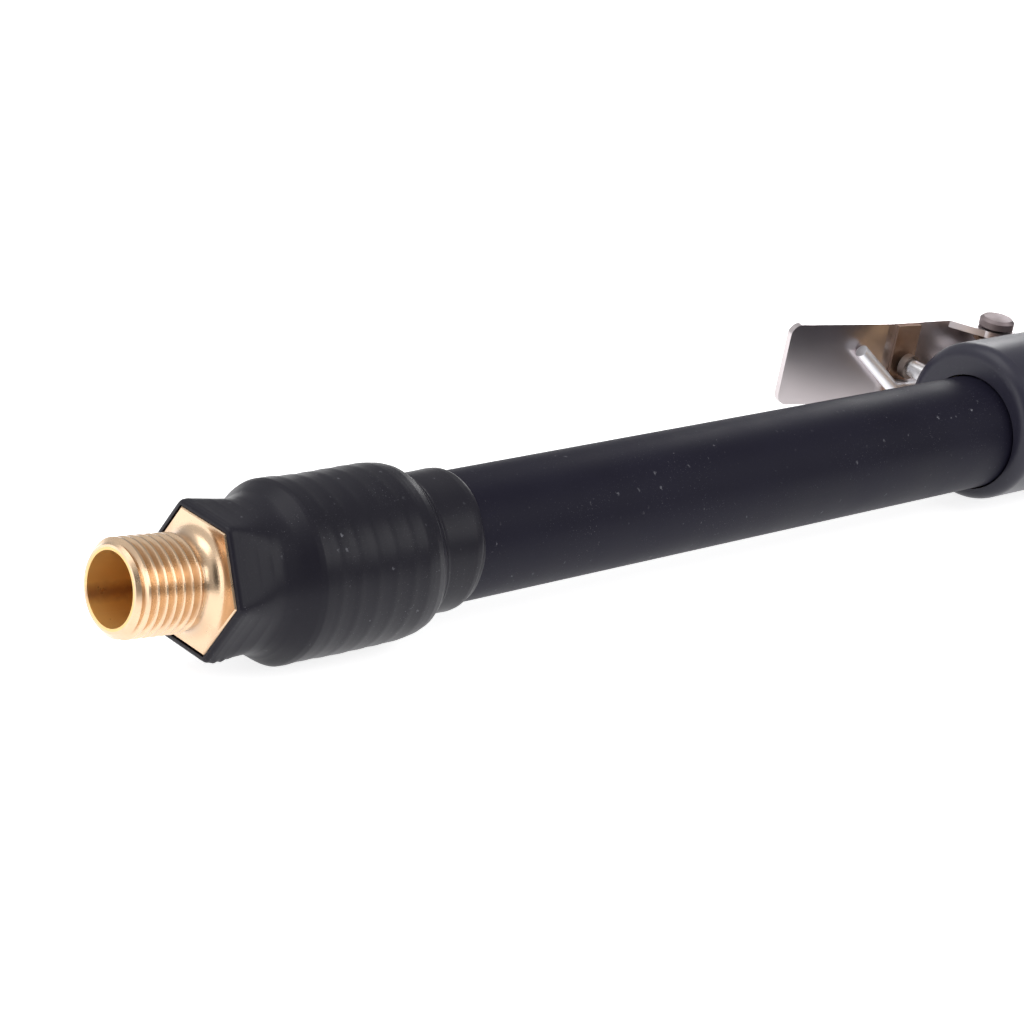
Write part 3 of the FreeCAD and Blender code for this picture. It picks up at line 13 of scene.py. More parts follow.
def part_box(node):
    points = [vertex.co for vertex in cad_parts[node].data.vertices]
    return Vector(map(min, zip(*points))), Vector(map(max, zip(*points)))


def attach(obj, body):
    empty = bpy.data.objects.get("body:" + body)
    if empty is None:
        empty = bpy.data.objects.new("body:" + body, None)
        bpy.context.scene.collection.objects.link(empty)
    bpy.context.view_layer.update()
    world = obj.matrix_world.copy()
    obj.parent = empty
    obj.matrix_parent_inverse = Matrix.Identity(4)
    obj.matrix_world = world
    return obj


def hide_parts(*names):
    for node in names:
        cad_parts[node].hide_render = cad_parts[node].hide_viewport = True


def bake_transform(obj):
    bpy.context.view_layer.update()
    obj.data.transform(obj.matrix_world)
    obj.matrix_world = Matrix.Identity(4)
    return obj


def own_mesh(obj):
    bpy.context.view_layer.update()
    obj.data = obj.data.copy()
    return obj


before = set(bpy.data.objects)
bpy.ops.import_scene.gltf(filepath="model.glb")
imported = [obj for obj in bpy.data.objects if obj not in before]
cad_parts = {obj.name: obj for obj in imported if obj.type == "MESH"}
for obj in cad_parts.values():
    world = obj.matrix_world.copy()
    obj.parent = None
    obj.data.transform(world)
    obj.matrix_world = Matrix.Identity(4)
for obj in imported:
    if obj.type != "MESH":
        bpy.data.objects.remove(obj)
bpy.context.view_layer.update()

logging.basicConfig(level=logging.INFO, format="%(name)s: %(message)s")
log = logging.getLogger("torch")

Colour = tuple[float, float, float]
Point = tuple[float, float, float]
MM = 0.001


class Wear(Enum):
    """How much dust and handling a surface carries."""

    CLEAN = 0.0
    HANDLED = 0.45
    DUSTY = 1.0


class NodeSheet:
    """A node tree that is filled in one node at a time."""

    def __init__(self, tree: bpy.types.NodeTree) -> None:
        """Starts on an empty tree.

        Args:
            tree: a material's, a world's or a group's node tree.
        """
        self.tree = tree
        self.tree.nodes.clear()
        self.column = 0

    def add(self, kind: str, **settings: object) -> bpy.types.Node:
        """Adds a node and gives its settings and input values.

        Args:
            kind: the node's type name.
            settings: properties of the node, or values of inputs named with underscores.

        Returns:
            The new node.
        """
        made = self.tree.nodes.new(kind)
        made.location = (self.column, 0)
        self.column += 180
        for name, value in settings.items():
            if hasattr(made, name):
                setattr(made, name, value)
            else:
                made.inputs[name.replace("_", " ")].default_value = value
        return made

    def link(self, source: bpy.types.NodeSocket, target: bpy.types.NodeSocket) -> None:
        """Joins an output to an input."""
        self.tree.links.new(source, target)

    def maths(self, operation: str, first: object, second: object = 0.0,
              clamp: bool = False) -> bpy.types.NodeSocket:
        """Adds a Math node.

        Args:
            operation: the operation's name.
            first: a socket or a number.
            second: a socket or a number.
            clamp: keeps the result between 0 and 1.

        Returns:
            The result's socket.
        """
        made = self.add("ShaderNodeMath", operation=operation, use_clamp=clamp)
        for slot, value in zip(made.inputs, (first, second)):
            if isinstance(value, bpy.types.NodeSocket):
                self.link(value, slot)
            else:
                slot.default_value = value
        return made.outputs[0]

    def spread(self, value: bpy.types.NodeSocket, low: float, high: float,
               to_low: float = 0.0, to_high: float = 1.0) -> bpy.types.NodeSocket:
        """Maps a value from one range to another, held at its ends.

        Args:
            value: the socket to map.
            low: start of the value's range.
            high: end of the value's range.
            to_low: what the start becomes.
            to_high: what the end becomes.

        Returns:
            The mapped value's socket.
        """
        made = self.add("ShaderNodeMapRange", clamp=True)
        self.link(value, made.inputs["Value"])
        for name, amount in (("From Min", low), ("From Max", high), ("To Min", to_low),
                             ("To Max", to_high)):
            made.inputs[name].default_value = amount
        return made.outputs["Result"]

    def blend(self, factor: object, first: object, second: object) -> bpy.types.NodeSocket:
        """Mixes two colours.

        Args:
            factor: a socket or a number from 0 to 1.
            first: a socket or a colour, shown at 0.
            second: a socket or a colour, shown at 1.

        Returns:
            The mixed colour's socket.
        """
        made = self.add("ShaderNodeMix", data_type="RGBA")
        for name, value in (("Factor_Float", factor), ("A_Color", first), ("B_Color", second)):
            slot = next(s for s in made.inputs if s.identifier == name)
            if isinstance(value, bpy.types.NodeSocket):
                self.link(value, slot)
            elif isinstance(value, tuple):
                slot.default_value = (*value, 1.0)
            else:
                slot.default_value = value
        return next(s for s in made.outputs if s.identifier == "Result_Color")

    def noise(self, vector: bpy.types.NodeSocket, scale: float, detail: float = 3.0,
              roughness: float = 0.5) -> bpy.types.NodeSocket:
        """Adds a noise texture.

        Args:
            vector: where it is read.
            scale: features per metre.
            detail: octaves.
            roughness: strength of the finer octaves.

        Returns:
            The noise value's socket.
        """
        made = self.add("ShaderNodeTexNoise", Scale=scale, Detail=detail, Roughness=roughness)
        self.link(vector, made.inputs["Vector"])
        return made.outputs["Fac"]

    def rays(self, *kinds: str) -> bpy.types.NodeSocket:
        """Tells some kinds of ray from the others.

        Args:
            kinds: names of the Light Path node's outputs.

        Returns:
            A socket that is 1 for these rays and 0 for others.
        """
        path = self.add("ShaderNodeLightPath")
        found = path.outputs[kinds[0]]
        for kind in kinds[1:]:
            found = self.maths("MAXIMUM", found, path.outputs[kind])
        return found


class Effects:
    """Node groups that more than one finish uses, each built once."""

    RAGGED_SCALE = 2600.0
    RAGGED_SHIFT = 0.0009
    SPECK_SIZES = (0.05, 0.26)
    SPECK_CHOICE = (0.72, 0.92)
    PATCH_SCALE = 110.0
    GRIT_SCALE = 5200.0
    GRIT_STRENGTH = 0.45

    @staticmethod
    def start(name: str, inputs: dict[str, float]) -> tuple[NodeSheet, dict, bpy.types.NodeSocket]:
        """Makes an empty group with its sockets.

        Args:
            name: the group's name.
            inputs: float inputs and their defaults.

        Returns:
            The sheet, the input sockets by name and the group's only output, Fac.
        """
        tree = bpy.data.node_groups.new(name, "ShaderNodeTree")
        tree.interface.new_socket(name="Vector", in_out="INPUT", socket_type="NodeSocketVector")
        for label, value in inputs.items():
            made = tree.interface.new_socket(name=label, in_out="INPUT",
                                             socket_type="NodeSocketFloat")
            made.default_value = value
        tree.interface.new_socket(name="Fac", in_out="OUTPUT", socket_type="NodeSocketFloat")
        sheet = NodeSheet(tree)
        entry = sheet.add("NodeGroupInput")
        leave = sheet.add("NodeGroupOutput")
        return sheet, dict(entry.outputs.items()), leave.inputs["Fac"]

    @cached_property
    def dust(self) -> bpy.types.NodeTree:
        """Fine, ragged pale specks in patches: Fac is where they lie."""
        sheet, given, out = self.start("Dust", {"Density": 900.0, "Amount": 1.0})
        ragged = sheet.add("ShaderNodeTexNoise", Scale=self.RAGGED_SCALE, Detail=3.0,
                           Roughness=0.6)
        sheet.link(given["Vector"], ragged.inputs["Vector"])
        shift = sheet.add("ShaderNodeVectorMath", operation="MULTIPLY_ADD")
        sheet.link(ragged.outputs["Color"], shift.inputs[0])
        shift.inputs[1].default_value = (self.RAGGED_SHIFT,) * 3
        sheet.link(given["Vector"], shift.inputs[2])
        cells = sheet.add("ShaderNodeTexVoronoi", feature="F1", Randomness=1.0)
        sheet.link(shift.outputs[0], cells.inputs["Vector"])
        sheet.link(given["Density"], cells.inputs["Scale"])
        chosen = sheet.add("ShaderNodeSeparateColor")
        sheet.link(cells.outputs["Color"], chosen.inputs["Color"])
        size = sheet.spread(chosen.outputs["Green"], 0.0, 1.0, *self.SPECK_SIZES)
        share = sheet.maths("DIVIDE", cells.outputs["Distance"], size)
        specks = sheet.maths("SUBTRACT", 1.0, share, clamp=True)
        rare = sheet.spread(chosen.outputs["Red"], *self.SPECK_CHOICE)
        patches = sheet.spread(sheet.noise(given["Vector"], self.PATCH_SCALE),
                               0.42, 0.66, 0.12, 1.0)
        grit = sheet.spread(sheet.noise(given["Vector"], self.GRIT_SCALE, 2.0),
                            0.66, 0.78, 0.0, self.GRIT_STRENGTH)
        fac = sheet.maths("MAXIMUM", sheet.maths("MULTIPLY", specks, rare), grit)
        fac = sheet.maths("MULTIPLY", fac, patches)
        sheet.link(sheet.maths("MULTIPLY", fac, given["Amount"], clamp=True), out)
        return sheet.tree

    @cached_property
    def scratches(self) -> bpy.types.NodeTree:
        """Fine lines along the vector's X direction: Fac is where they lie."""
        sheet, given, out = self.start("Scratches", {"Scale": 400.0, "Stretch": 0.03})
        joined = sheet.add("ShaderNodeCombineXYZ", Y=1.0, Z=1.0)
        sheet.link(given["Stretch"], joined.inputs["X"])
        stretched = sheet.add("ShaderNodeVectorMath", operation="MULTIPLY")
        sheet.link(given["Vector"], stretched.inputs[0])
        sheet.link(joined.outputs[0], stretched.inputs[1])
        fine = sheet.add("ShaderNodeTexNoise", Detail=4.0, Roughness=0.7)
        sheet.link(stretched.outputs[0], fine.inputs["Vector"])
        sheet.link(given["Scale"], fine.inputs["Scale"])
        sheet.link(sheet.spread(fine.outputs["Fac"], 0.60, 0.74), out)
        return sheet.tree

    @cached_property
    def turning(self) -> bpy.types.NodeTree:
        """Fine rings that a lathe leaves, square to the vector's X: Fac goes up and down."""
        sheet, given, out = self.start("Turning", {"Scale": 2200.0})
        wave = sheet.add("ShaderNodeTexWave", wave_type="BANDS", bands_direction="X",
                         Distortion=1.5, Detail=2.0)
        wave.inputs["Detail Scale"].default_value = 2.0
        sheet.link(given["Vector"], wave.inputs["Vector"])
        sheet.link(given["Scale"], wave.inputs["Scale"])
        sheet.link(wave.outputs["Fac"], out)
        return sheet.tree

    @cached_property
    def mottle(self) -> bpy.types.NodeTree:
        """Slow, uneven variation: Fac from 0 to 1."""
        sheet, given, out = self.start("Mottle", {"Scale": 60.0})
        broad = sheet.add("ShaderNodeTexNoise", Detail=5.0, Roughness=0.55)
        sheet.link(given["Vector"], broad.inputs["Vector"])
        sheet.link(given["Scale"], broad.inputs["Scale"])
        sheet.link(sheet.spread(broad.outputs["Fac"], 0.3, 0.7), out)
        return sheet.tree


EFFECTS = Effects()


@dataclass
class Dressing:
    """A material while it is being made: its sheet, its shader and its coordinates."""

    name: str
    origin: Point = (0.0, 0.0, 0.0)
    axis: Point = (1.0, 0.0, 0.0)
    material: bpy.types.Material = field(init=False)
    sheet: NodeSheet = field(init=False)
    shader: bpy.types.Node = field(init=False)
    place: bpy.types.NodeSocket = field(init=False)

    def __post_init__(self) -> None:
        """Makes the material on Object coordinates whose X runs along the axis."""
        self.material = bpy.data.materials.new(self.name)
        self.material.use_nodes = True
        self.sheet = NodeSheet(self.material.node_tree)
        where = self.sheet.add("ShaderNodeTexCoord")
        turned = self.sheet.add("ShaderNodeMapping", vector_type="TEXTURE", Location=self.origin)
        lathe = Vector(self.axis).to_track_quat("X", "Z")
        turned.inputs["Rotation"].default_value = lathe.to_euler()
        self.sheet.link(where.outputs["Object"], turned.inputs["Vector"])
        self.place = turned.outputs["Vector"]
        self.shader = self.sheet.add("ShaderNodeBsdfPrincipled")
        output = self.sheet.add("ShaderNodeOutputMaterial")
        self.sheet.link(self.shader.outputs["BSDF"], output.inputs["Surface"])

    def fixed(self, **values: object) -> None:
        """Sets shader values that are the same all over the surface."""
        for name, value in values.items():
            self.shader.inputs[name.replace("_", " ")].default_value = value

    def effect(self, group: bpy.types.NodeTree, **values: float) -> bpy.types.NodeSocket:
        """Places a shared effect.

        Args:
            group: the effect's node group.
            values: its inputs' values.

        Returns:
            The effect's Fac socket.
        """
        made = self.sheet.add("ShaderNodeGroup")
        made.node_tree = group
        self.sheet.link(self.place, made.inputs["Vector"])
        for name, value in values.items():
            made.inputs[name].default_value = value
        return made.outputs["Fac"]

    def feed(self, name: str, value: bpy.types.NodeSocket) -> None:
        """Links a changing value to a shader input."""
        self.sheet.link(value, self.shader.inputs[name])

    def raise_by(self, height: bpy.types.NodeSocket, distance: float) -> None:
        """Adds a bump.

        Args:
            height: where the surface stands up.
            distance: how far, in metres.
        """
        bump = self.sheet.add("ShaderNodeBump", Strength=1.0, Distance=distance)
        self.sheet.link(height, bump.inputs["Height"])
        earlier = self.shader.inputs["Normal"].links
        if earlier:
            self.sheet.link(earlier[0].from_socket, bump.inputs["Normal"])
        self.feed("Normal", bump.outputs["Normal"])


@dataclass(frozen=True)
class TurnedMetal:
    """Brass, copper or steel with lathe rings, stains and fine scratches; painted light and shade
    in a bore.
    """

    STAIN_SCALE = 170.0
    SCRATCH_SCALE = 1500.0
    SCRATCH_ROUGHNESS = 0.12
    GRAIN_SCALE = 3800.0
    COAT_ROUGHNESS = 0.25
    BORE_ROUGHNESS = 0.05
    BORE_METALLIC = 0.55
    STREAK_SCALE = 900.0
    STREAK_RAGGED = 0.16

    name: str
    colour: Colour
    stain: Colour
    roughness: float = 0.2
    origin: Point = (0.0, 0.0, 0.0)
    axis: Point = (1.0, 0.0, 0.0)
    ring_scale: float = 2200.0
    ring_height: float = 0.000003
    grain_height: float = 0.000002
    wear: Wear = Wear.HANDLED
    bore: float = 0.0
    # Painted light and shade in the bore: a brighter, warmer colour, and a dark streak at a fixed
    # angle that stands in for a dark reflection.
    bore_painted_light: Colour = (0.95, 0.60, 0.20)
    bore_painted_shade: Colour = (0.36, 0.16, 0.06)
    shade_angle: float = -31.0
    coat: float = 0.0

    def inside(self, made: Dressing) -> tuple[bpy.types.NodeSocket, bpy.types.NodeSocket]:
        """Adds a mask of the metal's bore and the colour there: painted light, brighter and warmer,
        with a dark streak of painted shade along it.

        Args:
            made: the material being made.

        Returns:
            The mask's socket, 1 in the bore and 0 outside, and the colour's socket.
        """
        sheet = made.sheet
        parts = sheet.add("ShaderNodeSeparateXYZ")
        sheet.link(made.place, parts.inputs["Vector"])
        across, up = parts.outputs["Y"], parts.outputs["Z"]
        distance = sheet.maths("SQRT", sheet.maths(
            "ADD", sheet.maths("MULTIPLY", across, across), sheet.maths("MULTIPLY", up, up)))
        mask = sheet.spread(distance, self.bore, self.bore * 1.02, 1.0, 0.0)
        angle = sheet.maths("ARCTAN2", up, across)
        ragged = sheet.maths("MULTIPLY", sheet.noise(made.place, self.STREAK_SCALE),
                             self.STREAK_RAGGED)
        middle = math.radians(self.shade_angle) + self.STREAK_RAGGED / 2
        off = sheet.maths("ABSOLUTE", sheet.maths(
            "SUBTRACT", sheet.maths("ADD", angle, ragged), middle))
        streak = sheet.spread(off, 0.05, 0.30, 0.75, 0.0)
        return mask, sheet.blend(streak, self.bore_painted_light, self.bore_painted_shade)

    def material(self) -> bpy.types.Material:
        """Makes the metal's material."""
        made = Dressing(self.name, self.origin, self.axis)
        made.fixed(Metallic=1.0, Coat_Weight=self.coat, Coat_Roughness=self.COAT_ROUGHNESS)
        stains = made.effect(EFFECTS.mottle, Scale=self.STAIN_SCALE)
        rings = made.effect(EFFECTS.turning, Scale=self.ring_scale)
        lines = made.effect(EFFECTS.scratches, Scale=self.SCRATCH_SCALE, Stretch=0.08)
        tarnish = made.sheet.spread(stains, 0.35, 1.0, 0.0, 0.30 + 0.3 * self.wear.value)
        colour = made.sheet.blend(tarnish, self.colour, self.stain)
        rough = made.sheet.spread(stains, 0.0, 1.0, self.roughness * 0.8, self.roughness * 1.45)
        rough = made.sheet.maths("ADD", rough, made.sheet.maths(
            "MULTIPLY", lines, self.SCRATCH_ROUGHNESS))
        # Paints light and a dark streak of shade into the bore, with less metal there so the
        # painted colour shows.
        if self.bore:
            inside, warm = self.inside(made)
            colour = made.sheet.blend(inside, colour, warm)
            rough = made.sheet.maths("ADD", rough, made.sheet.maths(
                "MULTIPLY", inside, self.BORE_ROUGHNESS))
            made.feed("Metallic", made.sheet.spread(inside, 0.0, 1.0, 1.0, self.BORE_METALLIC))
        made.feed("Base Color", colour)
        made.feed("Roughness", rough)
        made.raise_by(rings, self.ring_height)
        made.raise_by(made.sheet.noise(made.place, self.GRAIN_SCALE, 2.0), self.grain_height)
        return made.material


@dataclass(frozen=True)
class Polymer:
    """Rubber, shrunk sleeve or moulded plastic with dust and a fine grain."""

    MOTTLE_SCALE = 70.0
    DUST_DENSITY = 700.0
    RUB_SCALE = 500.0

    name: str
    colour: Colour
    pale: Colour
    roughness: float = 0.5
    grain: float = 900.0
    grain_height: float = 0.00001
    specular: float = 0.5
    dust_colour: Colour = (0.32, 0.32, 0.36)
    wear: Wear = Wear.HANDLED

    def material(self) -> bpy.types.Material:
        """Makes the polymer's material."""
        made = Dressing(self.name)
        made.fixed(Specular_IOR_Level=self.specular)
        slow = made.effect(EFFECTS.mottle, Scale=self.MOTTLE_SCALE)
        specks = made.effect(EFFECTS.dust, Density=self.DUST_DENSITY, Amount=self.wear.value)
        rubs = made.effect(EFFECTS.scratches, Scale=self.RUB_SCALE, Stretch=0.1)
        rubbed = made.sheet.maths("MULTIPLY", rubs, 0.25 * self.wear.value)
        haze = made.sheet.maths("ADD", made.sheet.maths("MULTIPLY", slow, 0.6), rubbed,
                                clamp=True)
        base = made.sheet.blend(haze, self.colour, self.pale)
        made.feed("Base Color", made.sheet.blend(specks, base, self.dust_colour))
        made.feed("Roughness", made.sheet.spread(haze, 0.0, 1.0, self.roughness * 0.88,
                                                 min(1.0, self.roughness * 1.2)))
        made.raise_by(made.sheet.noise(made.place, self.grain, 4.0, 0.6), self.grain_height)
        return made.material


@dataclass(frozen=True)
class PolishedSheet:
    """Polished sheet steel with faint, soft marks."""

    name: str
    colour: Colour
    stain: Colour
    roughness: float

    def material(self) -> bpy.types.Material:
        """Makes the sheet's material."""
        made = Dressing(self.name)
        made.fixed(Metallic=1.0)
        marks = made.effect(EFFECTS.mottle, Scale=60.0)
        made.feed("Base Color", made.sheet.blend(
            made.sheet.maths("MULTIPLY", marks, 0.30), self.colour, self.stain))
        made.feed("Roughness", made.sheet.spread(
            marks, 0.0, 1.0, self.roughness * 0.9, self.roughness * 1.15))
        made.raise_by(made.sheet.noise(made.place, 1500.0), 0.000002)
        return made.material


@dataclass(frozen=True)
class FiredCeramic:
    """Fired alumina: matt, faintly speckled, with a thin glaze."""

    name: str
    colour: Colour = (0.70, 0.42, 0.32)
    pale: Colour = (0.82, 0.60, 0.50)
    speck: Colour = (0.35, 0.2, 0.15)

    def material(self) -> bpy.types.Material:
        """Makes the ceramic's material."""
        made = Dressing(self.name)
        made.fixed(Specular_IOR_Level=0.45, Coat_Weight=0.15)
        slow = made.effect(EFFECTS.mottle, Scale=110.0)
        specks = made.effect(EFFECTS.dust, Density=1500.0, Amount=0.5)
        base = made.sheet.blend(slow, self.colour, self.pale)
        made.feed("Base Color", made.sheet.blend(specks, base, self.speck))
        made.feed("Roughness", made.sheet.spread(slow, 0.0, 1.0, 0.42, 0.6))
        made.raise_by(made.sheet.noise(made.place, 2500.0), 0.000012)
        return made.material


Finish = TurnedMetal | Polymer | PolishedSheet | FiredCeramic


class Bench:
    """Modelling helpers, which work as by hand."""

    @staticmethod
    def clear() -> None:
        """Leaves edit mode and selects nothing."""
        if bpy.context.object is not None and bpy.context.object.mode != "OBJECT":
            bpy.ops.object.mode_set(mode="OBJECT")
        bpy.ops.object.select_all(action="DESELECT")

    @staticmethod
    def named(name: str) -> bpy.types.Object:
        """Names the object that an operator has just added."""
        made = bpy.context.object
        made.name = name
        made.data.name = name
        return made

    @staticmethod
    def activate(piece: bpy.types.Object) -> None:
        """Makes a piece the only selected and the active one."""
        Bench.clear()
        piece.select_set(True)
        bpy.context.view_layer.objects.active = piece

    @staticmethod
    def skin(name: str, rings: list[list[Vector]]) -> bpy.types.Object:
        """A tube-like body through rings of points; the last ring joins the first.

        Args:
            name: the piece's name.
            rings: closed rings with the same number of points, outside first.

        Returns:
            The body, closed all round.
        """
        Bench.clear()
        count, sides = len(rings), len(rings[0])
        faces = [(row * sides + column, row * sides + (column + 1) % sides,
                  (row + 1) % count * sides + (column + 1) % sides,
                  (row + 1) % count * sides + column)
                 for row in range(count) for column in range(sides)]
        mesh = bpy.data.meshes.new(name)
        mesh.from_pydata([point for ring in rings for point in ring], [], faces)
        piece = bpy.data.objects.new(name, mesh)
        bpy.context.scene.collection.objects.link(piece)
        Bench.activate(piece)
        bpy.ops.object.mode_set(mode="EDIT")
        bpy.ops.mesh.select_all(action="SELECT")
        bpy.ops.mesh.normals_make_consistent(inside=False)
        bpy.ops.object.mode_set(mode="OBJECT")
        return piece

    @staticmethod
    def tube(name: str, outline: list[tuple[float, float]], sides: int) -> bpy.types.Object:
        """A tube about X, extruded ring by ring from a circle and joined along its bore.

        Args:
            name: the piece's name.
            outline: (x, radius) in metres, from the bore's one end to its other.
            sides: sides of the circle.

        Returns:
            The tube.
        """
        Bench.clear()
        first_x, first_radius = outline[0]
        bpy.ops.mesh.primitive_circle_add(
            vertices=sides, radius=first_radius, location=(first_x, 0.0, 0.0),
            rotation=(0.0, math.pi / 2, 0.0), fill_type="NOTHING")
        piece = Bench.named(name)
        bpy.ops.object.transform_apply(location=True, rotation=True, scale=True)
        bpy.ops.object.mode_set(mode="EDIT")
        bpy.ops.mesh.select_all(action="SELECT")
        x, radius = first_x, first_radius
        for next_x, next_radius in outline[1:]:
            bpy.ops.mesh.extrude_edges_move(
                TRANSFORM_OT_translate={"value": (next_x - x, 0.0, 0.0)})
            scale = next_radius / radius
            bpy.ops.transform.resize(value=(1.0, scale, scale), center_override=(next_x, 0, 0))
            x, radius = next_x, next_radius
        bpy.ops.mesh.select_all(action="DESELECT")
        bpy.ops.mesh.select_non_manifold(extend=False)
        bpy.ops.mesh.bridge_edge_loops()
        bpy.ops.mesh.select_all(action="SELECT")
        bpy.ops.mesh.normals_make_consistent(inside=False)
        bpy.ops.object.mode_set(mode="OBJECT")
        return piece

    @staticmethod
    def smooth(piece: bpy.types.Object, degrees: float) -> None:
        """Shades a piece smooth, apart from edges sharper than an angle."""
        Bench.activate(piece)
        bpy.ops.object.shade_smooth_by_angle(angle=math.radians(degrees))

    @staticmethod
    def rounded(points: list[Vector], radius: float, steps: int = 8) -> list[Vector]:
        """Rounds the corners of a line of points.

        Args:
            points: the line's points.
            radius: the corners' radius.
            steps: points on each corner.

        Returns:
            The points with each corner between the ends replaced by an arc.
        """
        made = [points[0]]
        for before, corner, after in zip(points, points[1:], points[2:]):
            back = (before - corner).normalized()
            ahead = (after - corner).normalized()
            half = (math.pi - back.angle(ahead)) / 2
            if half < math.radians(0.5):
                made.append(corner)
                continue
            legs = min(radius * math.tan(half), 0.45 * (before - corner).length,
                       0.45 * (after - corner).length)
            begin, finish = corner + back * legs, corner + ahead * legs
            for step in range(steps + 1):
                share = step / steps
                made.append(begin * (1 - share) ** 2 + corner * 2 * share * (1 - share)
                            + finish * share ** 2)
        return made + [points[-1]]

    @staticmethod
    def rod(name: str, points: list[Vector], radius: float, sides: int = 28) -> bpy.types.Object:
        """A round rod along a line of points, with flat ends.

        Args:
            name: the piece's name.
            points: the rod's middle line, in metres.
            radius: the rod's radius.
            sides: sides of its section.

        Returns:
            The rod.
        """
        Bench.clear()
        line = bpy.data.curves.new(name, "CURVE")
        line.dimensions = "3D"
        spline = line.splines.new("POLY")
        spline.points.add(len(points) - 1)
        for slot, point in zip(spline.points, points):
            slot.co = (*point, 1.0)
        line.bevel_depth = radius
        line.bevel_resolution = sides // 4 - 1
        line.use_fill_caps = True
        made = bpy.data.objects.new(name, line)
        bpy.context.scene.collection.objects.link(made)
        Bench.activate(made)
        bpy.ops.object.convert(target="MESH")
        return Bench.named(name)

    @staticmethod
    def place(piece: bpy.types.Object, where: Matrix) -> None:
        """Puts a piece in its place, in its mesh."""
        piece.data.transform(where)
        piece.data.update()
        piece.matrix_world = Matrix.Identity(4)


def along(origin: Point, direction: Point, roll: float = 0.0) -> Matrix:
    """The frame at a place whose X points along a direction and whose Z stays up.

    Args:
        origin: the place, in metres.
        direction: where local X points.
        roll: turn about local X, in degrees.

    Returns:
        The frame's matrix.
    """
    x_axis = Vector(direction).normalized()
    y_axis = Vector((0.0, 0.0, 1.0)).cross(x_axis).normalized()
    z_axis = x_axis.cross(y_axis)
    turn = Matrix((x_axis, y_axis, z_axis)).transposed().to_4x4()
    spin = Matrix.Rotation(math.radians(roll), 4, "X")
    return Matrix.Translation(Vector(origin)) @ turn @ spin


def dress(piece: bpy.types.Object, finish: bpy.types.Material) -> None:
    """Gives a piece or a CAD node its only material."""
    piece.data.materials.clear()
    piece.data.materials.append(finish)


def settle(piece: bpy.types.Object, finish: bpy.types.Material, body: str, slot: str,
           *stands_for: str) -> None:
    """Finishes a new piece: its look, its body and the nodes that it stands for.

    Args:
        piece: the new piece, in its place.
        finish: its material.
        body: the CAD body that it moves with.
        slot: not used.
        stands_for: names of the nodes that it replaces.
    """
    dress(piece, finish)
    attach(piece, body)
    if stands_for:
        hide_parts(*stands_for)


@dataclass(frozen=True)
class TailLine:
    """Where the hose and its fitting lie: the hose is straight and the fitting leans."""

    mouth: Point = (-0.088, -0.0006354, -0.0014684)
    reach: float = 158.8 * MM
    inward: Point = (0.997053, -0.030469, -0.070409)
    face: Point = (-0.2467587, -0.0002089, -0.0004827)
    roll: float = -2.0

    def hose_end(self) -> Matrix:
        """The frame at the hex face in line with the hose, X towards the handle."""
        x, y, z = self.mouth
        return along((x - self.reach, y, z), (1.0, 0.0, 0.0))

    def fitting(self) -> Matrix:
        """The frame of the leaning hex, X from its face towards the handle."""
        return along(self.face, self.inward, self.roll)


def reading(table: tuple[tuple[float, float], ...], at: float) -> float:
    """The value of a table of (place, value) pairs at a place, straight between them."""
    if at <= table[0][0]:
        return table[0][1]
    for (low, first), (high, second) in zip(table, table[1:]):
        if at <= high:
            return first + (second - first) * (at - low) / (high - low)
    return table[-1][1]


def hill(at: float, middle: float, width: float) -> float:
    """A smooth bump: 1 at its middle, near 0 two widths away."""
    return math.exp(-((at - middle) / width) ** 2)


@dataclass(frozen=True)
class Swelling:
    """A smooth local swelling of the sleeve, in millimetres and degrees."""

    height: float
    at: float
    length: float
    angle: float = 0.0
    width: float = math.inf

    def over(self, at: float, angle: float) -> float:
        """Its height at a place along the sleeve and an angle from the sleeve's underside."""
        return self.height * hill(at, self.at, self.length) * hill(angle, self.angle, self.width)


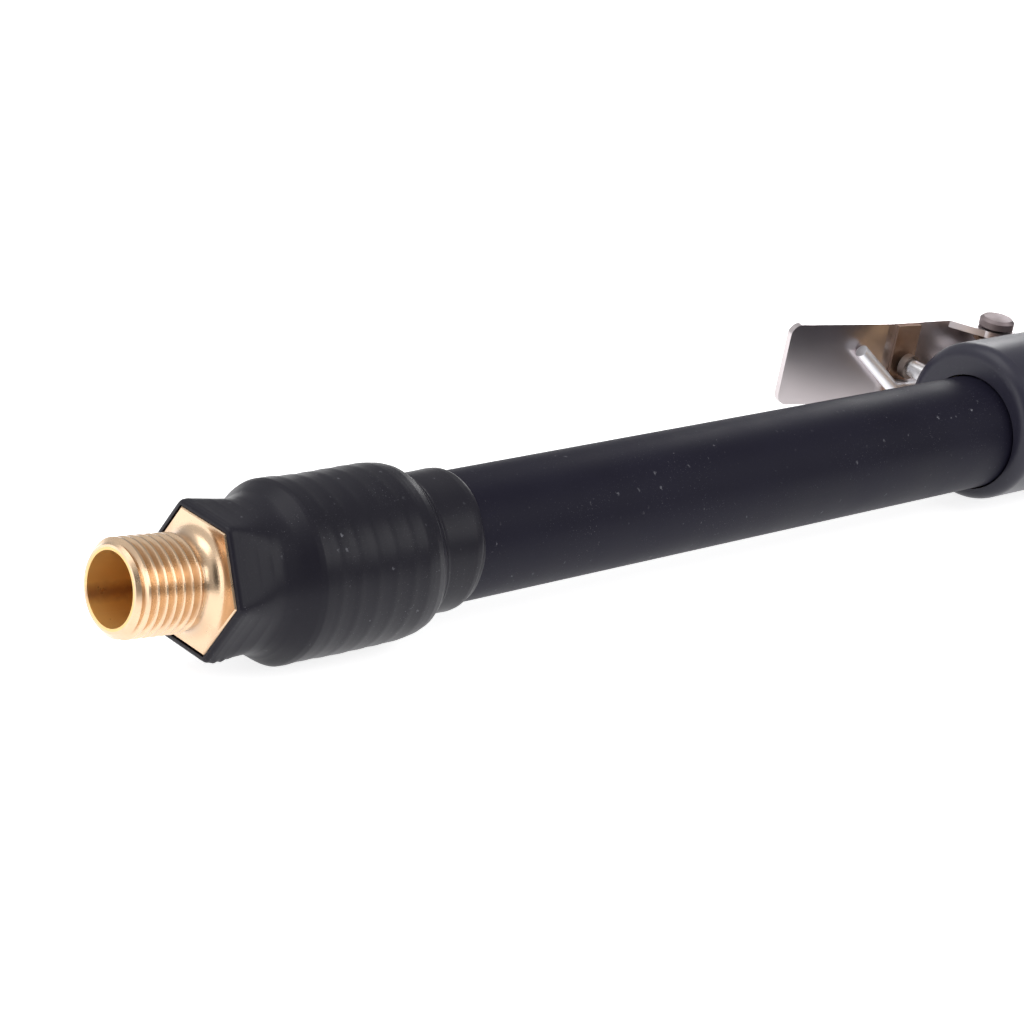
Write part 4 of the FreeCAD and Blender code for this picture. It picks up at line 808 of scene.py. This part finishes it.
@dataclass
class SleeveSkin:
    """The shrunk sleeve: tight over the hex, the crimped ferrule and the hose.

    Its tables are in millimetres from the hex face, along the hose.
    """

    line: TailLine
    sides: int = 192
    steps: int = 290
    end: float = 42.75
    hem: float = 1.8
    lift_angle: float = 66.6
    rise: tuple[tuple[float, float], ...] = (
        (0.0, 1.074), (9.6, 0.335), (12.0, 0.33), (14.4, 0.25), (17.5, 0.1), (20.0, 0.0))
    tilt: tuple[tuple[float, float], ...] = (
        (9.6, 4.4), (14.0, 0.0), (29.0, 0.0), (36.75, -3.0), (42.75, 6.0))
    swing: tuple[tuple[float, float], ...] = (
        (29.0, 0.0), (36.75, 9.0), (40.0, 6.0), (42.75, 3.0))
    corners: tuple[tuple[float, float], ...] = (
        (0.05, 10.2), (0.2, 10.45), (0.5, 10.62), (1.2, 10.7), (8.6, 10.05), (10.5, 9.8),
        (14.0, 7.0))
    sharpness: tuple[tuple[float, float], ...] = (
        (1.0, 38.0), (2.4, 22.0), (4.0, 12.0), (6.0, 7.0), (8.6, 5.0))
    girth: tuple[tuple[float, float], ...] = (
        (5.0, 6.5), (6.8, 8.6), (8.0, 9.7), (10.7, 11.45), (11.8, 12.1), (12.6, 12.35),
        (13.6, 12.36), (17.0, 12.29), (29.5, 12.29), (31.5, 12.2), (33.0, 12.0), (34.4, 11.6),
        (35.4, 11.0), (36.2, 10.3), (36.75, 9.86), (40.0, 9.92), (41.6, 9.99), (42.3, 9.92),
        (42.6, 9.78), (42.75, 9.58))
    room: tuple[tuple[float, float], ...] = (
        (9.8, 9.0), (11.0, 10.2), (12.8, 11.56), (33.3, 11.56), (34.6, 9.25), (42.75, 9.25))
    rings: int = 6
    ring_start: float = 13.4
    ring_pitch: float = 3.1
    ring_height: float = 0.05
    nut_corner: float = 9.9
    nut_sharpness: float = 200.0
    inner: tuple[float, ...] = (34.6, 33.3, 23.0, 12.8, 11.0, 9.8, 9.79, 6.0, 3.0)
    crease: Swelling = Swelling(0.10, 36.85, 0.15)
    fold: Swelling = Swelling(0.50, 11.2, 1.5, 0.0, 17.0)
    lump: Swelling = Swelling(0.28, 2.4, 1.6, -8.6, 3.5)
    merge: float = 18.0

    @staticmethod
    def polygon(angle: float, corner: float, sharpness: float) -> float:
        """A rounded hexagon's radius at an angle from one of its corners.

        Args:
            angle: the angle, in degrees.
            corner: the radius at the rounded corners.
            sharpness: how little the corners are rounded.

        Returns:
            The radius.
        """
        apothem = corner * math.cos(math.radians(30.0)) * 2.0 ** (1.0 / sharpness)
        total = 0.0
        for side in range(6):
            across = math.cos(math.radians(angle - 30.0 - 60.0 * side))
            if across > 0.0:
                total += (across / apothem) ** sharpness
        return total ** (-1.0 / sharpness)

    def outside(self, at: float, angle: float) -> float:
        """The outside radius at a place and an angle: the larger of hexagon and round."""
        hexagon = self.polygon(angle - self.line.roll, reading(self.corners, at),
                               reading(self.sharpness, at))
        turned = reading(self.girth, at)
        ring = (at - self.ring_start) / self.ring_pitch
        if 0.0 < ring < self.rings:
            turned += self.ring_height * (0.5 - 0.5 * math.cos(math.tau * ring)) ** 2
        below = (angle - self.lift_angle) % 360.0 - 180.0
        turned += self.crease.over(at, below) + self.fold.over(at, below)
        larger = (hexagon ** self.merge + turned ** self.merge) ** (1.0 / self.merge)
        ragged = 0.7 + 0.3 * math.sin(at * 5.0)
        return larger + self.lump.over(at, below) * ragged

    def inside(self, at: float, angle: float) -> float:
        """The inside radius: a hexagonal room for the nut, then a round one."""
        if at < self.room[0][0]:
            return self.polygon(angle - self.line.roll, self.nut_corner, self.nut_sharpness)
        return reading(self.room, at)

    def point(self, at: float, angle: float, radius: float, bent: bool = True) -> Vector:
        """A point of the skin in the hose's frame, in metres.

        Args:
            at: its distance from the hex face, in millimetres.
            angle: its angle about the axis, in degrees from the hose's Y.
            radius: its distance from the axis, in millimetres.
            bent: follows the skin's rise and tilt; else the hose's straight line.

        Returns:
            The point.
        """
        turn, lift = math.radians(angle), math.radians(self.lift_angle)
        lean = math.radians(reading(self.tilt, at)) if bent else 0.0
        height = radius * math.cos(turn - lift)
        swing = math.radians(reading(self.swing, at)) if bent else 0.0
        aside = radius * math.sin(lift - turn)
        up = height * (math.cos(lean) - 1.0) + (reading(self.rise, at) if bent else 0.0)
        wave = 0.10 * math.sin(3.0 * turn + 1.0) + 0.06 * math.sin(7.0 * turn)
        in_hem = max(0.0, at - self.end + self.hem) / self.hem
        shift = wave * in_hem + aside * math.sin(swing)
        return MM * Vector((at + height * math.sin(lean) + shift,
                            radius * math.cos(turn) + up * math.cos(lift),
                            radius * math.sin(turn) + up * math.sin(lift)))

    def build(self, finish: bpy.types.Material) -> None:
        """Builds the sleeve and puts it in the place of its CAD node."""
        angles = [360.0 * side / self.sides for side in range(self.sides)]
        start = self.corners[0][0]
        outer = [start + (self.end - start) * (step / self.steps) for step in range(self.steps + 1)]
        rings = [[self.point(at, angle, self.outside(at, angle)) for angle in angles]
                 for at in outer]
        rings += [[self.point(at, angle, self.inside(at, angle), at < self.room[0][0])
                   for angle in angles] for at in (self.end, *self.inner, start)]
        skin = Bench.skin("sleeve", rings)
        Bench.place(skin, self.line.hose_end())
        Bench.smooth(skin, 40.0)
        settle(skin, finish, "torch", "heat_shrink", "heat_shrink_sleeve")


@dataclass
class HoseSkin:
    """The rubber hose from the ferrule to inside the handle's mouth."""

    line: TailLine
    start: float = 12.8 * MM
    end: float = 162.3 * MM
    outside: float = 9.2 * MM
    bore: float = 6.4 * MM
    steps: int = 60
    sides: int = 160

    def build(self, finish: bpy.types.Material) -> None:
        """Builds the hose and puts it in the place of its CAD node."""
        places = [self.start + (self.end - self.start) * step / self.steps
                  for step in range(self.steps + 1)]
        outline = [(self.start, self.bore)] + [(x, self.outside) for x in places]
        hose = Bench.tube("hose", outline + [(self.end, self.bore)], self.sides)
        Bench.place(hose, self.line.hose_end())
        Bench.smooth(hose, 40.0)
        settle(hose, finish, "torch", "hose_rubber", "power_hose")


@dataclass(frozen=True)
class LeverSpring:
    """The lever's torsion spring: a short leg on the saddle, a coil and a long leg.

    Its sizes are in millimetres.
    """

    hinge: tuple[float, float] = (-61.5, 17.2)
    coil: float = 2.9
    wire: float = 1.15
    pitch: float = 2.8
    turns: float = 2.5
    steps: int = 90
    slope: float = (25.17 - 21.2) / (33.0 - 6.8)
    short_leg: Point = (-6.0, 0.5, 0.0)
    leg_bend_x: float = -79.6
    leg_drop: float = 0.5
    leg_tip: Point = (-87.25, 24.683, 3.0)
    corner: float = 2.07
    held: Point = (-61.5, 14.65, 1.5)
    swung: Point = (-61.5, 20.33, -1.34)

    def helix(self) -> list[Vector]:
        """The coil's middle line in millimetres, from the saddle's side."""
        sweep = math.tau * self.turns - math.atan(self.slope)
        top = self.pitch * sweep / math.tau / 2.0
        points = []
        for step in range(self.steps + 1):
            turned = sweep * step / self.steps
            angle = turned - math.pi / 2
            points.append(Vector((self.hinge[0] + self.coil * math.cos(angle),
                                  self.hinge[1] + self.coil * math.sin(angle),
                                  top - self.pitch * turned / math.tau)))
        return points

    def route(self) -> list[Vector]:
        """The whole wire's middle line in millimetres, with its bends rounded."""
        coil = self.helix()
        back = (coil[0] - coil[1]).normalized()
        short_turn = coil[0] + back * self.wire
        short_tip = short_turn + Vector(self.short_leg)
        leave = (coil[-1] - coil[-2]).normalized()
        turn_out = coil[-1] + leave * self.wire
        run = Vector((-1.0, self.slope, 0.0)).normalized()
        bend = turn_out + run * ((turn_out.x - self.leg_bend_x) / -run.x)
        bend.y -= self.leg_drop
        tail = [turn_out, bend, Vector(self.leg_tip)]
        short_leg = Bench.rounded([short_tip, short_turn, coil[0]], self.corner)[:-1]
        return short_leg + coil + Bench.rounded([coil[-1], *tail], self.corner)[1:]

    def build(self, finish: bpy.types.Material) -> None:
        """Builds the spring, whose short leg lies on the saddle."""
        spring = Bench.rod("lever_return_spring", [p * MM for p in self.route()],
                           self.wire * MM)
        Bench.smooth(spring, 50.0)
        dress(spring, finish)
        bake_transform(spring)
        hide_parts("lever_spring")


@dataclass(frozen=True)
class ValveSpring:
    """The closing spring under the valve's disc, which shortens as the valve opens.

    Its sizes are in millimetres.
    """

    coil: float = 2.6
    wire: float = 0.35
    turns: int = 3
    steps: int = 108
    stroke: float = 2.975

    def build(self, finish: bpy.types.Material) -> None:
        """Builds the spring in the place of its CAD node."""
        low, high = (Vector(corner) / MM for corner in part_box("valve_spring"))
        middle, length = (low + high) / 2.0, high.y - low.y
        points = []
        for step in range(self.steps + 1):
            share = step / self.steps
            turned = math.tau * self.turns * share
            points.append(Vector((middle.x + self.coil * math.cos(turned),
                                  low.y + self.wire + (length - 2.0 * self.wire) * share,
                                  middle.z - self.coil * math.sin(turned))) * MM)
        spring = Bench.rod("valve_closing_spring", points, self.wire * MM, 16)
        Bench.smooth(spring, 50.0)
        settle(spring, finish, "torch", "spring_steel", "valve_spring")
        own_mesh(spring)


@dataclass(frozen=True)
class Lamp:
    """A soft square lamp: where it hangs, what it faces, its side in metres and its power."""

    name: str
    place: Point
    target: Point
    side: float
    watts: float

    def hang(self) -> None:
        """Adds the lamp to the scene."""
        made = bpy.data.objects.new(self.name, bpy.data.lights.new(self.name, "AREA"))
        bpy.context.scene.collection.objects.link(made)
        made.data.size = self.side
        made.data.energy = self.watts
        heading = (Vector(self.target) - Vector(self.place)).to_track_quat("-Z", "Y")
        hung = Matrix.Translation(Vector(self.place))
        made.matrix_world = hung @ heading.to_matrix().to_4x4()


LAMPS = (
    Lamp("key", (-0.55, 0.35, 0.95), (-0.15, 0.0, 0.0), 0.8, 3.5),
    Lamp("fill", (-1.15, -0.10, 0.15), (-0.25, 0.0, 0.0), 0.5, 1.4),
    Lamp("rim", (0.45, -0.85, 0.75), (0.0, 0.0, 0.0), 0.7, 4.0),
    Lamp("edge", (0.065, 0.135, 0.08), (-0.07, 0.0, 0.013), 0.06, 0.06),
)


@dataclass(frozen=True)
class Studio:
    """The camera, the pale floor and the white surroundings."""

    lens: float = 104.24
    sensor: float = 36.0
    eye: Point = (-0.4702, -0.266435, 0.159932)
    right: Point = (0.7285, -0.6635, 0.1700)
    up: Point = (0.1450, 0.3923, 0.9080)
    floor_height: float = -0.0138
    floor_size: float = 12.0
    floor_colour: Colour = (0.85, 0.85, 0.85)
    floor_glow: float = 0.80
    bright_side: Point = (-0.75, 0.15, 0.65)
    glow: tuple[float, float] = (0.22, 0.80)
    dark_side: Point = (-0.72, -0.56, 0.42)
    dark_edge: tuple[float, float] = (0.84, 0.96)
    dark_share: float = 0.08

    def camera(self) -> None:
        """Adds the camera at the photograph's viewing angle."""
        made = bpy.data.objects.new("camera", bpy.data.cameras.new("camera"))
        bpy.context.scene.collection.objects.link(made)
        made.data.lens = self.lens
        made.data.sensor_width = self.sensor
        made.data.clip_start = 0.01
        x_axis = Vector(self.right).normalized()
        back = x_axis.cross(Vector(self.up)).normalized()
        y_axis = back.cross(x_axis)
        turn = Matrix((x_axis, y_axis, back)).transposed().to_4x4()
        made.matrix_world = Matrix.Translation(Vector(self.eye)) @ turn
        bpy.context.scene.camera = made

    @staticmethod
    def facing(sheet: NodeSheet, side: Point) -> bpy.types.NodeSocket:
        """How much a direction of the world points to a side, from -1 to 1."""
        where = sheet.add("ShaderNodeTexCoord")
        product = sheet.add("ShaderNodeVectorMath", operation="DOT_PRODUCT")
        sheet.link(where.outputs["Generated"], product.inputs[0])
        product.inputs[1].default_value = Vector(side).normalized()
        return product.outputs["Value"]

    def surroundings(self) -> None:
        """Makes the world: white where it is seen, dimmer and uneven where it lights."""
        world = bpy.data.worlds.new("surroundings")
        bpy.context.scene.world = world
        world.use_nodes = True
        sheet = NodeSheet(world.node_tree)
        seen = sheet.rays("Is Camera Ray", "Is Transmission Ray")
        glow = sheet.spread(self.facing(sheet, self.bright_side), -0.5, 0.8, *self.glow)
        shade = sheet.spread(self.facing(sheet, self.dark_side), *self.dark_edge,
                             1.0, self.dark_share)
        strength = sheet.maths("MAXIMUM", seen, sheet.maths("MULTIPLY", glow, shade))
        light = sheet.add("ShaderNodeBackground", Color=(1.0, 1.0, 1.0, 1.0))
        sheet.link(strength, light.inputs["Strength"])
        output = sheet.add("ShaderNodeOutputWorld")
        sheet.link(light.outputs["Background"], output.inputs["Surface"])

    def floor(self) -> None:
        """Adds the pale floor, which shows white and keeps a faint shadow."""
        Bench.clear()
        bpy.ops.mesh.primitive_plane_add(size=self.floor_size,
                                         location=(0.0, 0.0, self.floor_height))
        made = Bench.named("floor")
        bpy.ops.object.transform_apply(location=True, rotation=True, scale=True)
        finish = Dressing("pale_floor")
        finish.fixed(Roughness=0.9, Specular_IOR_Level=0.0)
        finish.fixed(Base_Color=(*self.floor_colour, 1.0), Emission_Color=(1.0, 1.0, 1.0, 1.0))
        seen = finish.sheet.rays("Is Camera Ray", "Is Transmission Ray", "Is Glossy Ray")
        finish.feed("Emission Strength", finish.sheet.maths("MULTIPLY", seen, self.floor_glow))
        dress(made, finish.material)

    def build(self) -> None:
        """Sets the whole studio up."""
        bpy.context.scene.view_settings.view_transform = "Standard"
        self.camera()
        self.surroundings()
        self.floor()
        for lamp in LAMPS:
            lamp.hang()


BRASS = TurnedMetal("bright_brass", (0.72, 0.48, 0.25), (0.42, 0.25, 0.12), 0.22, coat=0.6)
FITTING_BRASS = TurnedMetal("fitting_brass", (0.75, 0.53, 0.34), (0.46, 0.30, 0.18), 0.25,
                            origin=TailLine.face, axis=TailLine.inward, bore=5.3 * MM, coat=1.0,
                            grain_height=0.000006)
BRASS_DARK = TurnedMetal("used_brass", (0.50, 0.36, 0.28), (0.32, 0.22, 0.17), 0.40,
                         ring_scale=900.0)
WORN_STEEL = TurnedMetal("worn_steel", (0.31, 0.26, 0.27), (0.23, 0.19, 0.18), 0.44)
DARK_STEEL = TurnedMetal("dark_steel", (0.24, 0.20, 0.18), (0.16, 0.12, 0.10), 0.42)
COPPER = TurnedMetal("drawn_copper", (0.80, 0.42, 0.27), (0.45, 0.20, 0.12), 0.28)
STEEL = TurnedMetal("plated_steel", (0.62, 0.62, 0.64), (0.40, 0.38, 0.37), 0.26)
WIRE = TurnedMetal("spring_wire", (0.95, 0.95, 0.99), (0.82, 0.82, 0.86), 0.42, ring_scale=700.0)
TUNGSTEN = TurnedMetal("ground_tungsten", (0.40, 0.40, 0.42), (0.26, 0.26, 0.28), 0.36)
SHRUNK = Polymer("shrunk_sleeve", (0.0115, 0.0105, 0.0175), (0.0180, 0.0165, 0.0255), 0.40,
                 wear=Wear.DUSTY, grain=1400.0, grain_height=0.000006, specular=0.20)
HOSE = Polymer("hose_rubber", (0.0086, 0.0076, 0.0180), (0.0150, 0.0137, 0.0275), 0.52,
               wear=Wear.DUSTY, grain=1800.0, grain_height=0.000008, specular=0.13)
SEAL = Polymer("seal_rubber", (0.012, 0.012, 0.012), (0.03, 0.03, 0.03), 0.6, wear=Wear.CLEAN,
               specular=0.3)
HANDLE = Polymer("handle_plastic", (0.0260, 0.0245, 0.0410), (0.0350, 0.0335, 0.0540), 0.36,
                 grain=2600.0, grain_height=0.000012, specular=0.36)
PHENOLIC = Polymer("head_moulding", (0.010, 0.010, 0.012), (0.020, 0.020, 0.024), 0.42,
                   grain=2200.0, grain_height=0.00001, specular=0.30)
WHITE_RING = Polymer("white_gasket", (0.80, 0.79, 0.76), (0.70, 0.68, 0.64), 0.5,
                     dust_colour=(0.35, 0.33, 0.3))
PLATE = PolishedSheet("polished_sheet", (0.62, 0.57, 0.58), (0.44, 0.39, 0.40), 0.30)
CERAMIC = FiredCeramic("fired_alumina")

NODE_FINISHES: dict[str, Finish] = {
    "hose_nipple": FITTING_BRASS, "crimp_ferrule": BRASS, "heat_shrink_sleeve": SHRUNK,
    "power_hose": HOSE, "front_cable_lug": COPPER, "rear_cable_lug": COPPER,
    "copper_core": COPPER, "valve_body": BRASS, "valve_plug": BRASS, "valve_disc": SEAL,
    "valve_stem": STEEL, "push_cap": DARK_STEEL, "valve_bonnet": BRASS, "stem_seal": SEAL,
    "valve_spring": WIRE, "handle_tube": HANDLE, "handle_nose": HANDLE,
    "hinge_bracket": BRASS_DARK, "bracket_screws": STEEL, "hinge_pin": WORN_STEEL,
    "pin_clip": STEEL, "lever_plate": PLATE, "wear_pad": BRASS_DARK, "lever_spring": WIRE,
    "neck_tube": COPPER, "torch_body": COPPER, "head_insulator": PHENOLIC,
    "cup_gasket": WHITE_RING, "collet_body": COPPER, "collet": COPPER,
    "tungsten_electrode": TUNGSTEN, "ceramic_cup": CERAMIC, "back_cap": PHENOLIC,
    "back_cap_oring": SEAL,
}


class Finishes:
    """Materials made from the finishes, each once."""

    def __init__(self) -> None:
        """Starts with none made."""
        self.made: dict[str, bpy.types.Material] = {}

    def of(self, finish: Finish) -> bpy.types.Material:
        """The material of a finish."""
        if finish.name not in self.made:
            self.made[finish.name] = finish.material()
        return self.made[finish.name]

    def dress_nodes(self) -> None:
        """Gives every CAD node its finish."""
        for name, finish in NODE_FINISHES.items():
            dress(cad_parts[name], self.of(finish))


def main() -> None:
    """Builds the studio and the torch's pieces in order."""
    Studio().build()
    log.info("studio is set up")
    finishes = Finishes()
    finishes.dress_nodes()
    log.info("dressed %d nodes", len(NODE_FINISHES))
    line = TailLine()
    SleeveSkin(line).build(finishes.of(SHRUNK))
    HoseSkin(line).build(finishes.of(HOSE))
    LeverSpring().build(finishes.of(WIRE))
    ValveSpring().build(finishes.of(WIRE))
    log.info("built the sleeve, the hose and both springs")


if __name__ == "__main__":
    main()
